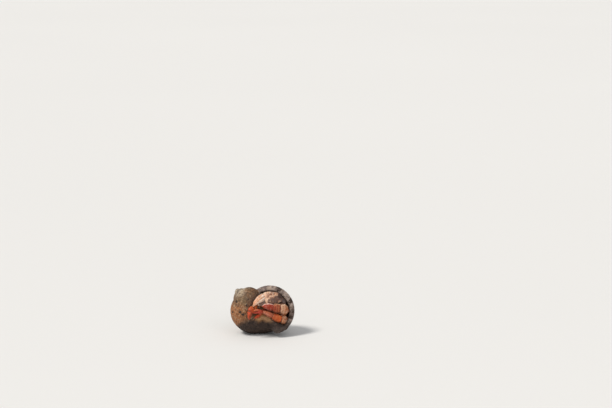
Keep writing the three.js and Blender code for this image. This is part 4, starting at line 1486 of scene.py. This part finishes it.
# %% Short feelers and mouthparts
SHORT_FEELERS = {"left": [[0.9, 0.6, 3.2], [0.5, -1.3, 4.2]],
                 "right": [[-0.9, 0.2, 3.4], [-1.7, -1.6, 4.4]]}
MOUTHPARTS = {"left": [[3.0, 3.0, -1.0], [2.9, -0.6, -2.2]],
              "right": [[2.0, 2.6, -1.2], [1.7, -0.8, -1.2]]}
FACE_BEDS = []
for side in ("left", "right"):
    start, end = SHORT_FEELERS[side]
    made = plate(start, end, [0.4, 0.3, 0.16], [0.4, 0.3, 0.16], rows=80, columns=24,
                 power=2, relief=ring_relief(6, 0.06))
    make_plate(f"{side}_short_feeler_rings", made, feeler_finish, "feeler",
               f"{side}_short_feeler")
    FACE_BEDS.append((made, 24, 60))
    start, end = MOUTHPARTS[side]
    made = plate(start, end, [0.6, 0.75, 0.5], [0.55, 0.65, 0.45], rows=90, columns=40,
                 relief=ring_relief(4, 0.14))
    make_plate(f"{side}_mouthpart_plates", made, feeler_finish, "feeler", f"{side}_mouthpart")
    FACE_BEDS.append((made, 40, 150))
print(len(FACE_BEDS), "pieces of the face will carry fine bristles")

# %% [markdown]
# ## The hidden body
#
# Behind the legs the crab is soft. The chest and the long abdomen are one bare skin
# that follows the coil of the shell, ringed by shallow folds. A hard shield covers
# the front of the back, two small pairs of legs brace against the wall, and the tail
# hooks round the shell's pillar. Little of this shows, so it is made more plainly. The
# shell's hollow was made only half a turn deep, so the abdomen's end and the tail,
# which lie deeper, are inside its solid part.

# %% A smooth line round the coil
def in_coil(growth, out, up):
    """Points of the coil, by growth angle, how far out from the axis and how far up from
    the tube's middle, both in tube radii at that angle."""
    radius = TUBE_RADIUS * GROWTH_PER_TURN ** (growth / TURN)
    height = (up - AXIS_DROP) * radius
    spot = np.stack([out * radius * np.cos(growth), -out * radius * np.sin(growth), height], -1)
    return spot @ LIE.T + APEX


def smooth_through(knots, f):
    """A smooth line through evenly spaced knots: each stretch is a cubic whose slope
    at a knot is half the step between its neighbours."""
    ends = np.concatenate([2 * knots[:1] - knots[1:2], knots, 2 * knots[-1:] - knots[-2:-1]])
    reach = f * (len(knots) - 1)
    i = np.minimum(len(knots) - 2, reach.astype(int))
    u = (reach - i)[:, None]
    p0, p1, p2, p3 = (ends[i + k] for k in range(4))
    square = 2 * p0 - 5 * p1 + 4 * p2 - p3 + u * (3 * p1 - p0 - 3 * p2 + p3)
    return p1 + u / 2 * (p2 - p0 + u * square)


CHEST = from_face([[1.6, 4.6, 1.6], [0.4, 6.4, 1.0]])
COIL_GROWTH = np.radians(np.linspace(-76, -216, 8))
COIL_OUT = 0.62  # tube radii from the axis, which is outward of the tube's middle
body_f, body_closing = dome_rows(110, (0.08, 0.05))
knots = np.concatenate([CHEST, in_coil(COIL_GROWTH, COIL_OUT, 0.0)])
spine = smooth_through(knots, body_f)
coil_long = np.linalg.norm(np.diff(spine, axis=0), axis=1).sum()
print("the soft body is", coil_long.round(1), "mm long round the coil")

# %% [markdown]
# The skin is a tube round that line, widest in the middle, with shallow folds along
# it. It could be a plate too, but a plate bends only once and this one coils.

# %% The soft body's skin
BODY_SIZES = 0.8 * np.array([1.5, 2.3, 2.5, 2.8, 2.9, 2.7, 2.4, 2.0, 1.6, 1.1])
BODY_COLUMNS = 90
BODY_FOLDS = 9
FOLD_TALL = 0.16
LUMP_TALL = 0.1
ways = np.gradient(spine, axis=0)
ways /= np.linalg.norm(ways, axis=1, keepdims=True)
side_ways = np.cross(ways, LIE @ [0, 0, 1])
side_ways /= np.linalg.norm(side_ways, axis=1, keepdims=True)
over_ways = np.cross(side_ways, ways)
knot_at = np.linspace(0, 1, len(knots))
body_size = np.interp(body_f, knot_at, BODY_SIZES) * body_closing
body_turn = np.linspace(0, TURN, BODY_COLUMNS, endpoint=False)
body_grid = spine[:, None] + body_size[:, None, None] * (
    side_ways[:, None] * np.cos(body_turn)[None, :, None]
    + over_ways[:, None] * np.sin(body_turn)[None, :, None]
)
folds = np.abs(np.sin(np.pi * BODY_FOLDS * body_f))[:, None] ** 0.5
swell = FOLD_TALL * folds + LUMP_TALL * lumps(body_grid, 1.4, 161)
body_grid += normals_of(body_grid) * swell[..., None]
body_points = np.concatenate([body_grid.reshape(-1, 3), spine[[0, -1]]])


def on_body(values, at_ends):
    """A value for each point of the skin, then one for each of its two end points."""
    return np.append(np.broadcast_to(values, body_grid.shape[:2]), at_ends)


body_values = {
    "along": on_body(body_f[:, None], [0, 1]),
    "up": on_body(np.sin(body_turn), [0, 0]),
    "crest": on_body(folds, [0, 0]),
}
soft_finish = plate_finish("soft body", (0.30, 0.12, 0.08), (0.30, 0.14, 0.10), BROWN_RED, 0.3,
                           (0.52, 0.32, 0.25), grain=0.2)
body_faces = closed_grid(len(body_f), BODY_COLUMNS)
make_piece("soft_body", body_points, body_faces, soft_finish, ["thorax", "abdomen"],
           body_values)
print("the soft body's widest ring is", (2 * body_size.max()).round(1), "mm across")

# %% [markdown]
# The hard pieces of the hidden part are plates again: a grooved and grained shield, two
# pairs of short legs with three rings each, and a ringed tail whose two hooks hold
# the shell's pillar.

# %% The shield
shield_finish = plate_finish("shield", (0.36, 0.14, 0.06), (0.30, 0.085, 0.03), DARK_RED, 0.75,
                             (0.56, 0.34, 0.21), clouds=0.65, grain=0.25)


def shield_relief(points, f, turn):
    """A groove across the shield and another down each side, among low grains."""
    across = np.exp(-((f - 0.42) / 0.05) ** 2)
    down = np.exp(-((np.abs(np.cos(turn)) - 0.75) / 0.08) ** 2)
    groove = np.maximum(across, 0.6 * down)
    grain = granules(points, 0.4, 165, 0.3) * (1 - groove)
    return 0.07 * grain - 0.2 * groove + 0.08 * lumps(points, 0.8, 163), grain


shield = plate([-0.8, 0.9, 3.4], [2.2, 6.4, 4.8], [0.8, 1.3, 1.2], [1.2, 1.9, 1.8], rows=80,
               columns=80, ends=(0.12, 0.15), relief=shield_relief)
make_plate("shield_plate", shield, shield_finish, "shield", "shield")
BEDS.append((shield, 80, 60))
print("the shield is", np.ptp(shield[0], axis=0).round(1), "mm over its box")

# %% The hind legs and the tail
HIND_LEGS = {
    "left_leg_3": [[2.0, 6.9, -0.8], [3.6, 7.5, -3.4]],
    "right_leg_3": [[-0.8, 6.6, 3.2], [-2.2, 7.4, 5.8]],
    "left_leg_4": [[0.8, 8.2, -1.4], [0.8, 9.6, -4.2]],
    "right_leg_4": [[-1.4, 8.2, 2.6], [-3.4, 9.2, 4.8]],
}
for name, (root, tip) in HIND_LEGS.items():
    made = plate(root, tip, [0.5, 0.6, 0.35], [0.5, 0.55, 0.35], [0, 0.3, 0], rows=70,
                 columns=36, relief=ring_relief(3, 0.12))
    make_plate(f"{name}_plates", made, shield_finish, "leg", name)
tail_root, tail_end = [-10.7, 1.1, 1.0], [-10.4, 0.5, 2.8]
tail = plate(tail_root, tail_end, [0.5, 0.7, 0.45], [0.7, 1.1, 0.6], rows=50, columns=50,
             ends=(0.15, 0.2), relief=ring_relief(3, 0.12))
hooks = [
    plate(tail_end, np.add(tail_end, [0.7 * s, -0.3, 0.6]), [0.22, 0.3, 0.1], [0.22, 0.3, 0.1],
          [0.15 * s, 0, 0.1], rows=20, columns=20)
    for s in (-1, 1)
]
make_plate("tail_plates", joined([tail, *hooks]), shield_finish, "shield", "tail")
print("hidden hard parts: a shield,", len(HIND_LEGS), "hind legs and a hooked tail")

# %% [markdown]
# ## Bristles
#
# A land hermit crab is not smooth. Short stiff bristles stand in tufts of three
# between the grains of its legs and its small claw, and lean towards the tip of the
# limb. Finer and longer ones fringe the mouthparts and the ends of the short feelers.
# They could be drawn as hair by the renderer, but then the library's part would have
# none. So they are real geometry: each bristle is a thin three-sided spike, slightly
# curved, and each joined piece holds all the tufts of one region.

# %% The shape of a bristle
SPIKE_RINGS = ((0.0, 1.0), (0.45, 0.75), (0.8, 0.4))  # shares of the length and thickness
SPIKE_RADIUS = 0.028
SPIKE_BEND = 0.3
SPIKE_SIDES = 3
SPIKE_POINTS = len(SPIKE_RINGS) * SPIKE_SIDES + 1


def spike_points(base, way, toward, long):
    """The points of each spike. Its middle line is base + long * (s * way + bend * s^2 *
    toward) for s from 0 to 1, and its thickness falls with s."""
    one = np.cross(way, toward + 0.01)
    one /= np.linalg.norm(one, axis=1, keepdims=True)
    two = np.cross(way, one)
    points = []
    for s, thick in SPIKE_RINGS:
        middle = base + long * (s * way + SPIKE_BEND * s * s * toward)
        for k in range(SPIKE_SIDES):
            angle = TURN * k / SPIKE_SIDES
            out = np.cos(angle) * one + np.sin(angle) * two
            points.append(middle + SPIKE_RADIUS * thick * out)
    points.append(base + long * (way + SPIKE_BEND * toward))
    return np.stack(points, 1).reshape(-1, 3)


def spike_faces(count):
    """The faces of each spike: four-sided between its rings, and three-sided at its tip
    and its base."""
    start = SPIKE_POINTS * np.arange(count)[:, None]
    n = SPIKE_SIDES
    tip = SPIKE_POINTS - 1
    last = tip - n
    quads = [start + np.array([r + k, r + (k + 1) % n, r + n + (k + 1) % n, r + n + k])
             for r in range(0, last, n) for k in range(n)]
    ends = [start + np.array([last + k, last + (k + 1) % n, tip]) for k in range(n)]
    ends.append(start + np.arange(n)[::-1])
    return [np.concatenate(quads), np.concatenate(ends)]


print("a bristle has", SPIKE_POINTS, "points and", sum(map(len, spike_faces(1))), "faces")

# %% [markdown]
# When the colours are baked, each bristle needs its own small place on the unwrap. The
# unwrap is shared out in columns, one for each plate that bristles grow on, and within
# its column a bristle lies where its root lies on the plate.

# %% Grow tufts on a plate
TUFT = 3  # bristles in each
UNWRAP_REACH = 0.0014  # of the unwrap's width, for one bristle


def bake_places(along, turn, column, columns):
    """The unwrap places of every point of the bristles of tufts at these roots."""
    place = np.repeat(np.stack([along, turn], -1) * 0.9 + 0.05, TUFT, axis=0)
    place = place[:, None] * [1 / columns, 1.0] + [column / columns, 0]
    corner = np.arange(SPIKE_POINTS) * TURN / SPIKE_SIDES
    corner = np.stack([np.cos(corner), np.sin(corner)], -1) * UNWRAP_REACH
    corner[-1] = 0
    return (place + corner).reshape(-1, 2)


def tuft_roots(made, columns, count, spread, free, fringe):
    """Which of a plate's points tufts stand on, drawn at random by area, `fringe` of
    them only where `free` nears 1, with the ways along and out of the plate there."""
    surface = made[0][:-2].reshape(-1, columns, 3)
    down = np.gradient(surface, axis=0)
    side = np.roll(surface, -1, 1) - surface
    area = np.linalg.norm(np.cross(down, side), axis=-1).ravel()
    down = down.reshape(-1, 3) / np.maximum(np.linalg.norm(down, axis=-1).reshape(-1, 1), 1e-9)
    chance = area * (1 - fringe + fringe * smooth_step(free, 0.7, 0.95))
    root = spread.choice(len(area), count, p=chance / chance.sum())
    return root, down, normals_of(surface).reshape(-1, 3)


def tufts_on(made, columns, count, length, seed, cell, to_start=True, fringe=0.0):
    """Points, faces, values and unwrap places of the tufts on one plate. They lean to
    its start or its end, and `cell` is its own column of the unwrap and their number."""
    spread = np.random.default_rng(seed)
    along = made[2]["along"][:-2]
    free = 1 - along if to_start else along
    root, down, out = tuft_roots(made, columns, count, spread, free, fringe)
    each = np.repeat(root, TUFT)
    out, toward = out[each], (-down if to_start else down)[each]
    way = 0.75 * out + 0.65 * toward + 0.30 * spread.normal(size=(len(each), 3))
    way /= np.linalg.norm(way, axis=1, keepdims=True)
    long = length * spread.uniform(0.6, 1.25, (len(each), 1))
    base = made[0][each] - 0.04 * out + 0.03 * spread.normal(size=(len(each), 3))
    shares = [s for s, _ in SPIKE_RINGS for _ in range(SPIKE_SIDES)] + [1]
    places = bake_places(along[root], (root % columns) / columns, *cell)
    points = spike_points(base, way, toward, long)
    return points, spike_faces(len(each)), {"along": np.tile(shares, len(each))}, places


trial = tufts_on(plain, 64, 5, 0.34, 1, (0, 1))
print("five trial tufts have", len(trial[0]) // SPIKE_POINTS, "bristles")

# %% [markdown]
# A bristle is dark at its root, where grime gathers, and amber at its tip, where light
# comes through. Two pieces hold them all: the short ones of the limbs and the shield,
# and the longer ones of the face, most of which fringe the free ends.

# %% Grow the bristles
def grow(name, beds, length, seed, slot, **how):
    """One piece of all the tufts on several plates."""
    made = [tufts_on(bed, columns, count, length, seed + i, (i, len(beds)), **how)
            for i, (bed, columns, count) in enumerate(beds)]
    points, faces, values = joined([part[:3] for part in made])
    bake_map = np.concatenate([part[3] for part in made])
    make_piece(name, points, faces, bristle_finish, (), values, bake_map)
    triangles = sum(len(block) * (block.shape[1] - 2) for block in faces)
    print(name, "has", len(points) // SPIKE_POINTS, "bristles and", triangles, "triangles")


bristle_coat = Finish("bristles", Specular_IOR_Level=0.3, Roughness=0.45)
toward_tip = bristle_coat.between(bristle_coat.value("along"), 0.1, 0.9)
grimy = bristle_coat.noise(bristle_coat.place(), 0.6)
bristle_root = bristle_coat.mix(grimy, (0.22, 0.07, 0.03), (0.10, 0.035, 0.015))
bristle_finish = bristle_coat.done(bristle_coat.mix(toward_tip, bristle_root, (0.36, 0.17, 0.08)))
grow("limb_bristles", BEDS, 0.34, 301, "leg")
grow("face_bristles", FACE_BEDS, 0.6, 331, "feeler", to_start=False, fringe=0.6)


# %% [markdown]
